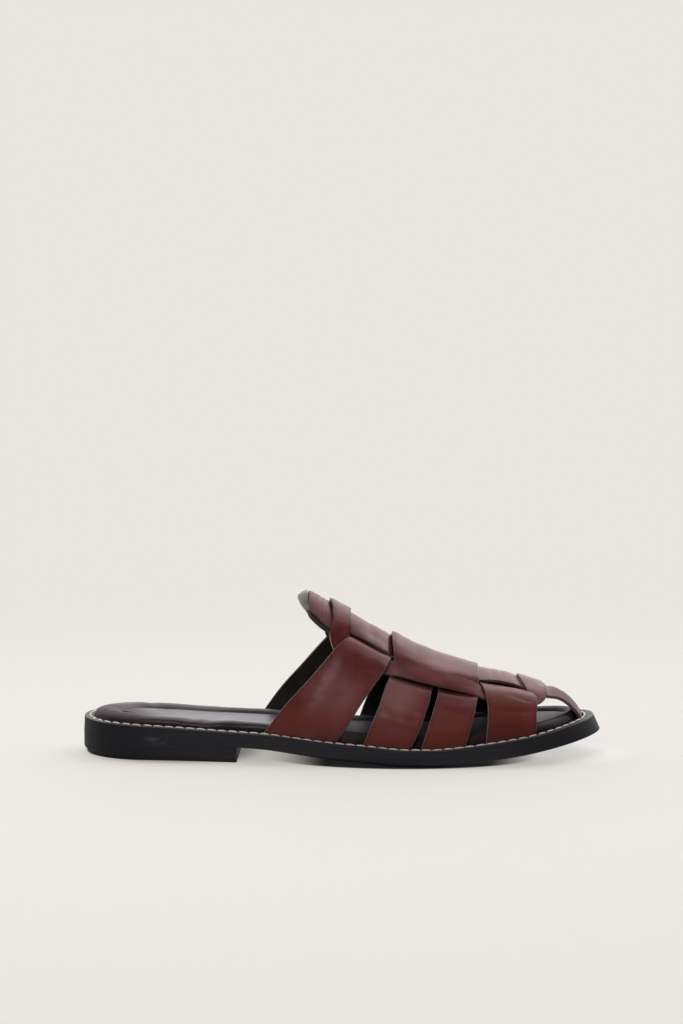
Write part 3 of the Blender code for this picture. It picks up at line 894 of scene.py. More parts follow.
# Painted highlight: the dark-brown tongue lining as it looks where light falls on it, pale grey.
TONGUE_LIP_HIGHLIGHT = SoftLining("tongue_lining", (0.26, 0.23, 0.215), 0.45, worn=(0.36, 0.33, 0.31))
TONGUE_BACKING = SoftLining("tongue_backing", (0.040, 0.016, 0.019), 0.55, worn=(0.065, 0.030, 0.034))
SOLE_EDGE = SoleBlack("sole_edge_black", (0.015, 0.0135, 0.019), 0.52, rubbed=(0.032, 0.030, 0.041))
# The welt's top takes a pale painted highlight towards the toe and the heel's back.
WELT_TOP = SoleBlack(
    "welt_top",
    (0.016, 0.013, 0.012),
    0.62,
    rubbed=(0.045, 0.036, 0.032),
    ends=(0.119, 0.130),
    end_painted_light=(0.19, 0.158, 0.135),
    end_roughness=0.0,
)
CREAM_THREAD = WaxedThread("cream_thread", (0.93, 0.86, 0.79), 0.6)
FLOOR = PaleFloor("pale_floor", (0.33, 0.318, 0.298), 0.8)


# Making pieces


def laid_sheet(points: np.ndarray, closed: bool = False, tuck: np.ndarray | None = None) -> bmesh.types.BMesh:
    """Start a sheet of leather and lay it on a grid of points.

    Args:
        points: rows of points in millimetres; each row has the same count.
        closed: whether points that meet are welded.
        tuck: how deep each point is tucked under another strap, from 0 to 1.

    Returns:
        The sheet, in metres.
    """
    rows, columns = points.shape[:2]
    work = bmesh.new()
    layer = work.verts.layers.float.new("tuck")
    bmesh.ops.create_grid(work, x_segments=columns - 1, y_segments=rows - 1, size=1.0)
    placed = (points - ORIGIN) * MM
    for vert in work.verts:
        column = round((vert.co.x + 1) / 2 * (columns - 1))
        row = round((vert.co.y + 1) / 2 * (rows - 1))
        vert.co = placed[row, column]
        if tuck is not None:
            vert[layer] = tuck[row, column]
    if closed:
        bmesh.ops.remove_doubles(work, verts=work.verts, dist=0.002 * MM)
        bmesh.ops.recalc_face_normals(work, faces=work.faces)
    return work


def note_edges(work: bmesh.types.BMesh, limit: float = 12.0) -> None:
    """Store how far each point lies from the nearest cut edge.

    Args:
        work: the sheet, in metres.
        limit: the greatest distance that is told apart, in millimetres.
    """
    layer = work.verts.layers.float.new("edge")
    rim = [vert for vert in work.verts if vert.is_boundary]
    tree = KDTree(len(rim))
    for i, vert in enumerate(rim):
        tree.insert(vert.co, i)
    tree.balance()
    for vert in work.verts:
        vert[layer] = min(tree.find(vert.co)[2] / MM, limit)


def finished(
    work: bmesh.types.BMesh, name: str, finishes: Sequence[Finish], sharp: float = 180.0
) -> bpy.types.Object:
    """Turn worked geometry into a piece.

    Args:
        work: the geometry, in metres, which is freed.
        name: the piece's name.
        finishes: its materials in the order of their numbers on the faces.
        sharp: the angle, in degrees, from which an edge is shaded as a hard corner.

    Returns:
        The piece.
    """
    for face in work.faces:
        face.smooth = True
    for edge in work.edges:
        edge.smooth = edge.calc_face_angle(0.0) < math.radians(sharp)
    mesh = bpy.data.meshes.new(name)
    work.to_mesh(mesh)
    work.free()
    for finish in finishes:
        mesh.materials.append(finish.material())
    piece = bpy.data.objects.new(name, mesh)
    bpy.context.scene.collection.objects.link(piece)
    return piece


def round_edges(piece: bpy.types.Object, width: float, angle: float, material: int) -> None:
    """Round a piece's sharp edges.

    Args:
        piece: the piece.
        width: the rounding's width, in millimetres.
        angle: the least angle, in degrees, that counts as sharp.
        material: the number of its finish.
    """
    bevel = piece.modifiers.new("Rounded edges", "BEVEL")
    bevel.width = width * MM
    bevel.segments = 3
    bevel.profile = 0.5
    bevel.limit_method = "ANGLE"
    bevel.angle_limit = math.radians(angle)
    bevel.harden_normals = True
    bevel.material = material


def refine(piece: bpy.types.Object, levels: int) -> None:
    """Smooth a piece by subdivision."""
    smooth = piece.modifiers.new("Smooth", "SUBSURF")
    smooth.levels = smooth.render_levels = levels


def thicken(piece: bpy.types.Object, wall: float, inner: int, rim: int) -> None:
    """Give a sheet its wall, half to each side.

    Args:
        piece: the sheet.
        wall: the wall, in millimetres.
        inner: the number of its inner face's finish.
        rim: the number of its rim's finish.
    """
    solidify = piece.modifiers.new("Wall", "SOLIDIFY")
    solidify.thickness = wall * MM
    solidify.offset = 0.0
    solidify.material_offset = inner
    solidify.material_offset_rim = rim


def place_on(piece: bpy.types.Object, node: str) -> None:
    """Let a piece stand for a node of the frame, whose part it hides, and ride on the shoe.

    Args:
        piece: the piece.
        node: the node's name.
    """
    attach(piece, "root")
    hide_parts(node)
    log.info("%s: %d faces, stands for %s", piece.name, len(piece.data.polygons), node)



# Sole


@dataclass
class Sole:
    """Outsole, heel, welt and the row of stitches round the welt.

    heel_rows go up the bottom lift, over its seam and up the foot of the block; each is how far in
    it lies at the back, how far in along the sides, and its height. channel goes over the welt's
    channel; each is a distance beside the stitches and a share of the depth.
    """

    pattern: SolePattern
    stations: int = 150
    edge_radius: float = 1.2
    edge_steps: int = 4
    edge_starts: Ramp = (-2.0, 1.0)
    edge_ends: Ramp = (222.0, 262.0)
    wall_shares: tuple[float, ...] = (0.55, 1.0)
    toe_rake: float = 2.0
    toe_rake_starts: Ramp = (238.0, 268.0)
    low_rake: float = 0.65
    breast_x: float = 82.0
    breast_radius: float = 0.6
    heel_stations: int = 60
    heel_back: Ramp = (4.0, 34.0)
    heel_rows: tuple[Triple, ...] = (
        (1.75, 0.5, 0.0),
        (1.5, 0.3, 0.25),
        (1.45, 0.25, 1.35),
        (1.6, 0.4, 1.6),
        (1.3, 0.15, 1.8),
        (0.75, 0.05, 2.2),
        (0.25, 0.0, 2.8),
        (0.0, 0.0, 3.5),
    )
    heel_shares: tuple[float, ...] = (0.45, 0.75, 1.0)
    heel_sink: float = 0.02
    welt_height: float = 2.6
    welt_width: float = 4.9
    welt_radius: float = 0.6
    welt_turns: tuple[float, ...] = (0.5, 1.05)
    welt_crown: float = 1.9
    welt_swell: float = 0.05
    channel: tuple[Ramp, ...] = ((-1.1, 0.0), (-0.5, 1.0), (0.35, 1.0))
    channel_depth: float = 0.45
    stitch_inset: float = 4.2
    stitch_stand: float = 0.35
    stitch_shift: float = 1.2
    stitch_stations: int = 900
    stitch_pitch: float = 5.6
    stitch_size: Triple = (2.75, 0.72, 0.6)
    stitch_slant: float = 9.0
    slant_spread: float = 2.0
    size_spread: float = 0.04
    toe_stitch_cut: float = 0.15
    toe_stitches: Ramp = (205.0, 240.0)

    def build(self) -> None:
        """Build and dress all its pieces."""
        self.build_outsole()
        self.build_heel()
        self.build_welt()
        self.build_stitches()

    def ahead_of_heel(self, x: np.ndarray) -> np.ndarray:
        """Return 0 over the heel block, 1 ahead of it and 0 again at the toe."""
        return smooth_step(x - self.breast_x, *self.edge_starts) * (1 - smooth_step(x, *self.edge_ends))

    def round_back(self, x: np.ndarray) -> np.ndarray:
        """Return 1 round the heel's back and 0 along its sides."""
        return 1 - smooth_step(x, *self.heel_back)

    def rake(self, x: np.ndarray) -> np.ndarray:
        """Return how far the sole's top edge leans back from the outline at the toe."""
        return self.toe_rake * smooth_step(x, *self.toe_rake_starts)

    def lower_loop(self, inset: float, rise: float) -> np.ndarray:
        """Return a loop on the outsole's lower edge, which is round ahead of the heel only."""
        ease = self.ahead_of_heel
        return self.pattern.ring(lambda x, side: inset * ease(x), lambda x: rise * ease(x), self.stations)

    def wall_loop(self, share: float) -> np.ndarray:
        """Return a loop on the outsole's wall, at a share of its height."""
        lean, bed = share * self.low_rake, self.pattern.bed
        return self.pattern.ring(lambda x, side: lean * self.rake(x), lambda x: bed(x) * share, self.stations)

    def heel_loop(self, at_back: float, at_side: float, rise: float, share: float = 0.0) -> np.ndarray:
        """Lay a closed loop round the heel block.

        Args:
            at_back: how far in from the outline it lies at the back.
            at_side: how far in it lies along the sides.
            rise: its height, less its share of the underside's height.
            share: that share.

        Returns:
            The loop.
        """
        x, lateral, medial = self.pattern.inset_edges(
            lambda x, side: at_side + (at_back - at_side) * self.round_back(x),
            self.heel_stations,
            last_x=self.breast_x,
        )
        if at_side == self.pattern.middle_inset:
            lateral = medial = (lateral + medial) / 2
        height = share * self.pattern.underside(x) + rise
        there, back = (np.stack([x, y, height], axis=-1) for y in (lateral, medial))
        return np.concatenate([there, back[::-1], there[:1]])

    def rim_loop(self, inset: float, rise: float, lean: float, follow: float, stations: int) -> np.ndarray:
        """Lay a loop above the outsole's rim.

        Args:
            inset: how far in from the outline it lies.
            rise: its height above the outsole.
            lean: its share of the rake at the toe.
            follow: how far it goes along with the stitches at the heel's back, from 0 to 1.
            stations: places along x on each side.

        Returns:
            The loop.
        """
        return self.pattern.ring(
            lambda x, side: inset + self.rake(x) * lean - follow * self.stitch_shift * self.round_back(x),
            lambda x: self.pattern.bed(x, rise),
            stations,
        )

    def build_outsole(self) -> None:
        """The running sole: a plate with an arched waist and a sprung toe."""
        radius = self.edge_radius
        loops = [self.pattern.ring(None, lambda x: 0 * x, self.stations)]
        for turn in np.linspace(0, np.pi / 2, self.edge_steps + 1):
            loops.append(self.lower_loop(radius * (1 - math.sin(turn)), radius * (1 - math.cos(turn))))
        loops += [self.wall_loop(share) for share in self.wall_shares]
        loops.append(self.pattern.ring(None, self.pattern.top, self.stations))
        work = laid_sheet(np.array(loops), closed=True)
        place_on(finished(work, "outsole_plate", [SOLE_EDGE], sharp=35), "outsole")

    def build_heel(self) -> None:
        """The heel block, flat on the floor and square at the breast, on a bottom lift with a seam."""
        middle = self.pattern.middle_inset
        loops = [self.heel_loop(middle, middle, 0.0)]
        loops += [self.heel_loop(*row) for row in self.heel_rows]
        loops += [self.heel_loop(0.0, 0.0, 0.0, share) for share in self.heel_shares]
        loops.append(self.heel_loop(middle, middle, -self.heel_sink, 1.0))
        work = laid_sheet(np.array(loops), closed=True)
        self.round_breast(work)
        place_on(finished(work, "heel_block", [SOLE_EDGE], sharp=35), "heel")

    def round_breast(self, work: bmesh.types.BMesh) -> None:
        """Round the upright and the lower edges of the heel's breast.

        Args:
            work: the heel block, in metres.
        """
        breast = (self.breast_x - ORIGIN[0]) * MM
        top = float(self.pattern.underside(self.breast_x)) * MM
        edges = [
            edge
            for edge in work.edges
            if all(abs(vert.co.x - breast) < 0.01 * MM for vert in edge.verts)
            and min(vert.co.z for vert in edge.verts) < top - 0.1 * MM
            and edge.calc_face_angle(0.0) > math.radians(50)
        ]
        bmesh.ops.bevel(
            work,
            geom=edges,
            offset=self.breast_radius * MM,
            affect="EDGES",
            segments=3,
            profile=0.5,
            material=-1,
        )

    def build_welt(self) -> None:
        """The welt: a strip on the outsole's rim, with a shallow channel for the stitches."""
        width, high, edge = self.welt_width, self.welt_height, self.welt_radius
        wall = [(width, 0.0), (0.0, 0.0), (0.0, high * 0.4), (0.0, high - edge)]
        for turn in self.welt_turns:
            wall.append((edge * (1 - math.cos(turn)), high - edge * (1 - math.sin(turn))))
        steps = [(inset, rise, 0.0) for inset, rise in wall + [(edge, high)]]
        steps.append((self.welt_crown, high + self.welt_swell, 0.5))
        for beside, share in self.channel:
            steps.append((self.stitch_inset + beside, high - share * self.channel_depth, 1.0))
        steps += [(width, high - 0.1, 0.0), (width, 0.0, 0.0)]
        loops = []
        for inset, rise, follow in steps:
            lean = self.low_rake + (1 - self.low_rake) * rise / high
            loops.append(self.rim_loop(inset, rise, lean, follow, self.stations))
        work = laid_sheet(np.array(loops), closed=True)
        for face in work.faces:
            face.material_index = int(face.normal.z > 0.6)
        place_on(finished(work, "welt_strip", [SOLE_EDGE, WELT_TOP], sharp=50), "welt")

    def build_stitches(self) -> None:
        """The row of slanted stitches in the welt's channel."""
        rise = self.welt_height - self.channel_depth + self.stitch_stand
        loop = self.rim_loop(self.stitch_inset, rise, 1.0, 1.0, self.stitch_stations)
        travel = travelled(loop)
        count = round(travel[-1] / self.stitch_pitch)
        rng = np.random.default_rng(7)
        work = bmesh.new()
        work.loops.layers.uv.new("UVMap")
        for i in range(count):
            at = (i + 0.5) / count * travel[-1]
            point, ahead, behind = (
                np.array([np.interp(at + shift, travel, line) for line in loop.T]) for shift in (0, 1, -1)
            )
            along = Vector(ahead - behind).normalized()
            slope = float(self.pattern.slope(point[0]))
            up = Vector((-math.sin(slope), 0, math.cos(slope)))
            axes = Matrix((along, up.cross(along).normalized(), up)).transposed()
            turn = Quaternion((0, 0, 1), math.radians(-self.stitch_slant + rng.normal(0, self.slant_spread)))
            sizes = np.array(self.stitch_size) * (1 + rng.normal(0, self.size_spread, 3)) * MM
            sizes[0] *= 1 - self.toe_stitch_cut * float(smooth_step(point[0], *self.toe_stitches))
            place = Matrix.Translation(Vector((point - ORIGIN) * MM)) @ (axes @ turn.to_matrix()).to_4x4()
            lay = place @ Matrix.Diagonal((*sizes, 1.0)) @ Matrix.Rotation(math.radians(90), 4, "Y")
            bmesh.ops.create_uvsphere(work, u_segments=8, v_segments=7, radius=1.0, matrix=lay, calc_uvs=True)
        bmesh.ops.recalc_face_normals(work, faces=work.faces)
        piece = finished(work, "welt_stitches", [CREAM_THREAD])
        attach(piece, "root")
        log.info("welt_stitches: %d stitches", count)


# Creases


class Side(Enum):
    """Which side of the foot a crease lies on."""

    LATERAL = -1
    MEDIAL = 1
    CROWN = 0


@dataclass(frozen=True)
class Crease:
    """A soft trough (negative depth) or ridge, between two places given by x and distance across."""

    side: Side
    start: tuple[float, float]
    end: tuple[float, float]
    depth: float
    width: float

    def height(self, x: np.ndarray, across: np.ndarray) -> np.ndarray:
        """Measure the crease.

        Args:
            x: places along the foot.
            across: their distance across, lateral side negative.

        Returns:
            Its height there.
        """
        there = across if self.side is Side.CROWN else across * self.side.value
        first, last = np.array(self.start), np.array(self.end)
        place = np.stack([x, there], axis=-1) - first
        run = last - first
        along = np.clip((place @ run) / (run @ run), 0, 1)
        return self.depth * hump(np.linalg.norm(place - along[..., None] * run, axis=-1), self.width)


def creases(lateral: Sequence = (), medial: Sequence = (), crown: Sequence = ()) -> tuple[Crease, ...]:
    """Make the creases of one piece.

    Args:
        lateral: start, end, depth and width of each crease on the lateral side.
        medial: the same for the medial side, with distances across counted positive on both.
        crown: the same across the crest, where the lateral side is negative.

    Returns:
        The creases.
    """
    sides = ((Side.LATERAL, lateral), (Side.MEDIAL, medial), (Side.CROWN, crown))
    return tuple(Crease(side, *row) for side, rows in sides for row in rows)


# Footbed and tongue

FOOTBED_PUCKERS = creases(
    lateral=(
        ((20.0, 24.0), (24.5, 17.5), -0.42, 1.9),
        ((26.5, 25.0), (29.5, 20.0), -0.36, 1.7),
        ((53.0, 27.5), (60.0, 20.5), -0.42, 2.0),
        ((62.0, 27.5), (69.0, 21.5), -0.36, 1.9),
        ((72.0, 27.5), (82.0, 22.0), 0.30, 2.2),
    ),
    medial=(
        ((30.0, 24.0), (36.0, 18.5), -0.36, 2.0),
        ((66.0, 25.0), (74.0, 20.5), -0.36, 2.0),
    ),
)


@dataclass
class Footbed:
    """The padded insole: a rolled rim, a groove and a soft panel.

    The rows of wall and panel are a distance further in and a height; those of cushion are a share
    of the way from the side to the groove and a height.
    """

    pattern: SolePattern
    stations: int = 120
    side: float = 8.05
    side_starts: Ramp = (64.0, 88.0)
    heel_side: float = 5.25
    toe_side: float = 9.6
    toe_starts: Ramp = (240.0, 262.0)
    gap_side: float = 5.9
    gap_ramp: Ramp = (-2.5, 1.5)
    gaps: tuple[Ramp, ...] = ((134.3, 143.5), (203.1, 207.4))
    groove: float = 16.0
    heel_groove: float = 20.5
    heel_groove_ends: Ramp = (4.0, 40.0)
    plump: float = 1.6
    plump_along: tuple[Ramp, Ramp] = ((122.0, 142.0), (214.0, 236.0))
    plump_across: tuple[Ramp, Ramp] = ((-7.0, -3.6), (-2.6, 0.6))
    panel_starts: Ramp = (-7.0, 0.5)
    wall: tuple[Ramp, ...] = ((0.5, 0.0), (0.05, 0.5), (0.0, 2.0), (0.1, 3.6), (0.45, 4.8))
    cushion: tuple[Ramp, ...] = (
        (0.08, 5.7),
        (0.20, 6.5),
        (0.36, 6.95),
        (0.52, 7.0),
        (0.68, 6.7),
        (0.82, 6.0),
        (0.92, 5.2),
        (0.97, 4.75),
        (1.00, 4.6),
    )
    panel: tuple[Ramp, ...] = ((0.5, 4.75), (1.2, 5.15), (2.6, 5.35), (5.0, 5.3))
    panel_shares: tuple[float, ...] = (0.3, 0.62, 1.0)

    def inset(self, x: np.ndarray, side: int) -> np.ndarray:
        """Measure how far in from the outline the pad's side lies.

        Args:
            x: places along the sole.
            side: -1 for the lateral side, 1 for the medial side.

        Returns:
            The distance there.
        """
        room = self.heel_side + (self.side - self.heel_side) * smooth_step(x, *self.side_starts)
        room = room + (self.toe_side - self.side) * smooth_step(x, *self.toe_starts)
        place = x if side < 0 else x + MEDIAL_SET_BACK
        before, after = self.gap_ramp
        for start, stop in self.gaps:
            bulge = span(place, (start + before, start + after), (stop - after, stop - before))
            room = room - (self.side - self.gap_side) * bulge
        return room

    def groove_inset(self, x: np.ndarray) -> np.ndarray:
        """Return how far in from the outline the groove round the panel lies."""
        return self.groove + (self.heel_groove - self.groove) * (1 - smooth_step(x, *self.heel_groove_ends))

    def loop(self, share: float, outer: float, inner: float, rise: float) -> np.ndarray:
        """Lay a loop round the pad.

        Args:
            share: its place between the pad's side, at 0, and the groove, at 1.
            outer: how much further in the side is taken to lie.
            inner: how much further in the groove is taken to lie.
            rise: its height above the outsole.

        Returns:
            The loop.
        """

        def inset(x: np.ndarray, side: int) -> np.ndarray:
            """Return how far in the loop lies."""
            return (self.inset(x, side) + outer) * (1 - share) + (self.groove_inset(x) + inner) * share

        return self.pattern.ring(inset, lambda x: self.pattern.bed(x, rise), self.stations)

    def middle(self, rise: float) -> np.ndarray:
        """Return a loop closed up on the pad's middle line."""
        return self.pattern.ring(None, lambda x: self.pattern.bed(x, rise), self.stations)

    def build(self) -> None:
        """Build and dress the pad."""
        start, high = self.wall[-1][0], self.panel[-1][1]
        loops = [self.middle(0.0)]
        loops += [self.loop(0.0, inward, 0.0, rise) for inward, rise in self.wall]
        loops += [self.loop(share, start, 0.0, rise) for share, rise in self.cushion]
        loops += [self.loop(1.0, 0.0, inward, rise) for inward, rise in self.panel]
        rim, middle = loops[-1], self.middle(high)
        loops += [rim + (middle - rim) * share for share in self.panel_shares]
        work = laid_sheet(np.array(loops), closed=True)
        self.soften(work)
        piece = finished(work, "footbed_pad", [FOOTBED_LEATHER])
        refine(piece, 1)
        place_on(piece, "insole")

    def soften(self, work: bmesh.types.BMesh) -> None:
        """Let the top of the pad swell and sag a little, as stuffed leather does, and mark its panel.

        Args:
            work: the pad, in metres.
        """
        layer = work.verts.layers.float.new("panel")
        x, y, _ = (np.array([vert.co for vert in work.verts]) / MM + ORIGIN).T
        lateral, medial = self.pattern.edges(np.clip(x, 0, LENGTH))
        room = np.minimum(y - lateral, medial - y) - self.groove_inset(x)
        height = self.plump * span(x, *self.plump_along) * span(room, *self.plump_across)
        height = height * (y - lateral < medial - y) + sum(pucker.height(x, y) for pucker in FOOTBED_PUCKERS)
        x, y = x - ORIGIN[0], y - ORIGIN[1]
        height += 0.16 * np.sin(x / 11 + 1.3) * np.cos(y / 9 + 0.4) + 0.07 * np.sin(x / 4.3 + y / 6)
        for vert, share, raised in zip(work.verts, smooth_step(room, *self.panel_starts), height):
            vert[layer] = share
            if vert.normal.z >= 0.2:
                vert.co.z += raised * MM


TONGUE_SECTION = Table(
    "step x lift",
    (0, 130.0, -1.2),
    (1, 124.0, -1.2),
    (2, 119.6, -1.2),
    (3, 118.4, -1.1),
    (4, 118.15, -0.1),
    (5, 117.6, 0.4),
    (6, 116.3, 0.0),
    (7, 115.4, -1.4),
    (8, 114.7, -3.0),
    (9, 114.3, -4.4),
    (10, 114.5, -5.5),
    (11, 115.6, -6.1),
    (12, 118.0, -5.6),
    (13, 123.0, -5.0),
    (14, 130.0, -4.9),
)

TONGUE_TIPS = Table(
    "across x thickness",
    (0.00, 113.8, 1.0),
    (0.45, 114.0, 1.0),
    (0.61, 114.6, 0.92),
    (0.70, 115.3, 0.82),
    (0.78, 116.4, 0.70),
    (0.85, 117.7, 0.60),
    (0.93, 118.3, 0.55),
    (1.00, 118.6, 0.55),
)


@dataclass
class Tongue:
    """The padded lining whose thick round lip stands out behind the end of the centre strap; the seen lip
    takes a pale painted highlight.
    """

    last: LastShape
    centre: "CentreStrap"
    columns: int = 33
    back_x: float = 113.8
    front_x: float = 130.0
    strap_end: float = 118.0
    lip_share: float = 0.80
    side: float = 1.7
    under: float = -1.2
    middle: float = -2.2
    side_power: int = 14
    thin_ends: Ramp = (119.0, 123.0)
    painted_highlight_steps: Ramp = (3.5, 10.5)

    def build(self) -> None:
        """Build and dress the pad."""
        step, section_x, section_lift = (column[:, None] for column in TONGUE_SECTION.values.values())
        across = np.sin(np.linspace(-1, 1, self.columns) * np.pi / 2)[None, :]
        size = np.abs(across)
        share = (self.front_x - section_x) / (self.front_x - self.back_x)
        x = self.front_x - (self.front_x - TONGUE_TIPS.curve("x", size)) * share
        lift = np.where(x > self.strap_end + 0.2, np.minimum(section_lift, self.under), section_lift)
        lift = self.middle + (lift - self.middle) * np.sqrt(1 - size**self.side_power)
        thin = 1 - (1 - TONGUE_TIPS.curve("thickness", size)) * (1 - smooth_step(x, *self.thin_ends))
        lift = self.middle + (lift - self.middle) * thin
        half = self.centre.stations.curve("half", np.maximum(x, self.strap_end)) + self.side
        grid = self.last.lifted(self.last.crown_point, x, across * half, lift)
        # Painted highlight: the lip's seen faces take the pale grey finish; faces under the strap, underneath
        # and at the sides keep the lining's own dark colour.
        first, last = self.painted_highlight_steps
        tucked = (step < first) | (step > last) | (size > self.lip_share)
        work = laid_sheet(grid.transpose(1, 0, 2), closed=True, tuck=tucked.astype(float).T)
        layer = work.verts.layers.float["tuck"]
        for face in work.faces:
            face.material_index = int(all(vert[layer] > 0.5 for vert in face.verts))
        piece = finished(work, "tongue_pad", [TONGUE_LIP_HIGHLIGHT, TONGUE_BACKING])
        refine(piece, 2)
        place_on(piece, "tongue")


# Straps

COLLAR_CREASES = creases(
    lateral=(
        ((137.0, 36.0), (122.0, 59.0), 0.30, 5.0),
        ((131.0, 38.0), (114.0, 61.0), -0.36, 3.0),
        ((143.5, 37.5), (152.0, 35.8), -0.28, 1.2),
        ((153.0, 32.5), (158.0, 38.5), -0.34, 1.5),
        ((151.0, 45.0), (136.0, 66.0), -0.34, 3.6),
    ),
    medial=(
        ((139.0, 37.0), (124.0, 60.0), 0.39, 4.4),
        ((148.0, 36.0), (155.0, 41.0), -0.34, 1.8),
        ((147.0, 47.0), (133.0, 65.0), -0.36, 3.2),
    ),
)

COLLAR_EDGES = Table(
    "around back front layer",
    (0.00, 147.0, 163.5, -1.5),
    (0.20, 144.5, 162.8, -1.5),
    (0.30, 140.4, 161.8, -1.3),
    (0.335, 138.8, 161.3, -0.3),
    (0.36, 137.6, 160.9, 0.1),
    (0.40, 135.6, 160.0, 0.4),
    (0.46, 132.3, 158.2, 0.7),
    (0.58, 125.0, 153.2, 0.3),
    (0.70, 116.4, 147.0, 0.0),
    (0.82, 106.5, 140.9, 0.0),
    (0.92, 99.0, 135.4, 0.0),
    (1.00, 93.4, 131.4, 0.0),
)

MIDDLE_CREASES = creases(
    lateral=(
        ((160.0, 53.0), (174.0, 55.5), 0.42, 2.2),
        ((161.0, 49.0), (173.0, 50.5), -0.36, 1.9),
        ((163.5, 39.5), (169.5, 42.5), -0.31, 1.3),
        ((184.0, 46.0), (198.0, 49.0), -0.34, 2.0),
        ((182.0, 58.0), (197.0, 60.0), 0.31, 2.4),
    ),
    medial=(
        ((160.0, 50.0), (174.0, 54.0), -0.39, 2.2),
        ((184.0, 48.0), (199.0, 53.0), -0.36, 2.1),
        ((186.0, 60.0), (198.0, 57.0), 0.28, 2.2),
    ),
    crown=(
        ((180.0, -25.0), (190.0, -24.5), 0.35, 1.6),
        ((173.0, -20.0), (171.0, 16.0), -0.13, 3.0),
        ((184.0, -16.0), (182.5, 20.0), -0.12, 2.6),
        ((178.0, -18.0), (177.0, 10.0), 0.10, 2.2),
    ),
)

MIDDLE_EDGES = Table(
    "around back slit_back slit_front front layer",
    (0.00, 160.3, 182.6, 184.4, 205.5, 1.0),
    (0.25, 161.4, 183.0, 185.2, 205.9, 1.0),
    (0.32, 162.1, 183.2, 185.7, 206.1, 1.0),
    (0.40, 162.3, 183.1, 186.0, 206.2, 0.05),
    (0.45, 161.4, 182.9, 186.0, 206.1, -0.9),
    (0.485, 160.7, 182.5, 185.7, 205.9, -0.95),
    (0.52, 159.8, 182.1, 185.3, 205.7, -0.3),
    (0.56, 158.6, 181.6, 184.7, 205.4, -0.2),
    (0.70, 155.2, 179.0, 182.2, 203.8, 0.0),
    (0.81, 151.6, 176.2, 179.8, 202.2, 0.0),
    (0.93, 148.0, 172.2, 177.2, 200.1, 0.0),
    (1.00, 145.9, 169.6, 175.6, 198.9, 0.0),
)

TOE_CREASES = creases(
    lateral=(
        ((213.0, 46.0), (230.0, 49.0), -0.22, 2.4),
        ((215.0, 55.0), (231.0, 58.0), 0.24, 2.6),
        ((222.0, 35.0), (231.0, 39.0), -0.17, 1.8),
    ),
    medial=(
        ((213.0, 47.0), (230.0, 51.0), -0.34, 2.2),
        ((216.0, 58.0), (231.0, 60.0), 0.31, 2.4),
    ),
)

TOE_EDGES = Table(
    "around back front layer",
    (0.00, 206.0, 228.0, -1.2),
    (0.22, 206.0, 228.5, -1.2),
    (0.31, 206.6, 230.4, -0.9),
    (0.345, 207.0, 231.4, -0.1),
    (0.38, 207.5, 232.7, 0.4),
    (0.46, 209.0, 235.2, 0.8),
    (0.57, 210.3, 236.1, 0.5),
    (0.69, 210.8, 235.9, 0.1),
    (0.82, 210.4, 235.7, 0.0),
    (1.00, 209.4, 235.5, 0.0),
)

CENTRE_CREASES = creases(
    crown=(
        ((150.0, -9.0), (147.5, 10.0), -0.22, 2.2),
        ((154.5, -14.0), (153.0, 0.0), 0.14, 2.2),
        ((213.5, -12.0), (212.0, 10.0), -0.31, 1.6),
        ((217.5, -8.0), (217.0, 12.0), -0.22, 1.5),
        ((244.0, -12.0), (242.5, 11.0), -0.35, 1.6),
        ((250.0, -8.0), (249.0, 9.0), -0.25, 1.4),
    ),
)

CENTRE_STATIONS = Table(
    "x half layer",
    (118.0, 11.2, 0.0),
    (123.0, 13.1, 0.0),
    (128.0, 14.6, 0.0),
    (133.0, 14.6, 0.0),
    (140.0, 13.9, 0.0),
    (150.0, 15.0, 0.0),
    (160.0, 16.3, 0.0),
    (185.0, 17.0, 0.0),
    (206.0, 16.6, 0.15),
    (215.0, 15.0, 0.6),
    (222.0, 14.2, 0.5),
    (230.0, 14.0, 0.0),
    (241.0, 15.8, 0.0),
    (249.0, 12.8, 0.0),
    (261.6, 8.6, 0.0),
)

RING_STATIONS = Table(
    "x around outer inner layer tilt",
    (134.1, 0.000, 6.2, 4.2, 1.05, 0.0),
    (134.4, 0.120, 4.6, 4.4, 1.05, 0.0),
    (134.7, 0.230, 4.3, 4.5, 1.05, 0.0),
    (134.9, 0.305, 4.5, 4.5, 1.0, 0.0),
    (134.9, 0.345, 5.7, 4.4, -0.3, 0.0),
    (136.6, 0.390, 7.2, 4.2, -0.85, 0.0),
    (143.5, 0.428, 4.2, 4.0, -0.6, 0.0),
    (156.0, 0.440, 3.3, 3.8, -0.6, 0.0),
    (160.5, 0.437, 3.3, 3.9, -0.1, 0.1),
    (163.5, 0.434, 3.4, 3.9, 0.75, 0.4),
    (166.5, 0.430, 3.5, 3.9, 1.05, 0.6),
    (172.0, 0.424, 3.7, 4.0, 1.05, 0.65),
    (187.0, 0.421, 4.0, 4.0, 1.05, 0.65),
    (198.0, 0.434, 4.2, 4.2, 1.0, 0.6),
    (203.0, 0.443, 4.2, 4.2, 0.75, 0.4),
    (207.5, 0.455, 4.2, 4.2, -0.35, 0.0),
    (212.0, 0.468, 4.2, 4.2, -0.5, 0.0),
    (217.0, 0.482, 4.3, 4.3, -0.5, 0.0),
    (226.0, 0.506, 4.5, 4.5, -0.5, 0.0),
    (232.6, 0.496, 4.8, 4.8, -0.4, 0.0),
    (235.6, 0.430, 5.1, 5.1, 0.2, 0.0),
    (235.8, 0.336, 5.2, 5.2, 0.8, 0.0),
    (234.3, 0.160, 6.6, 6.6, 0.95, 0.0),
    (233.2, 0.000, 7.4, 7.4, 0.95, 0.0),
)


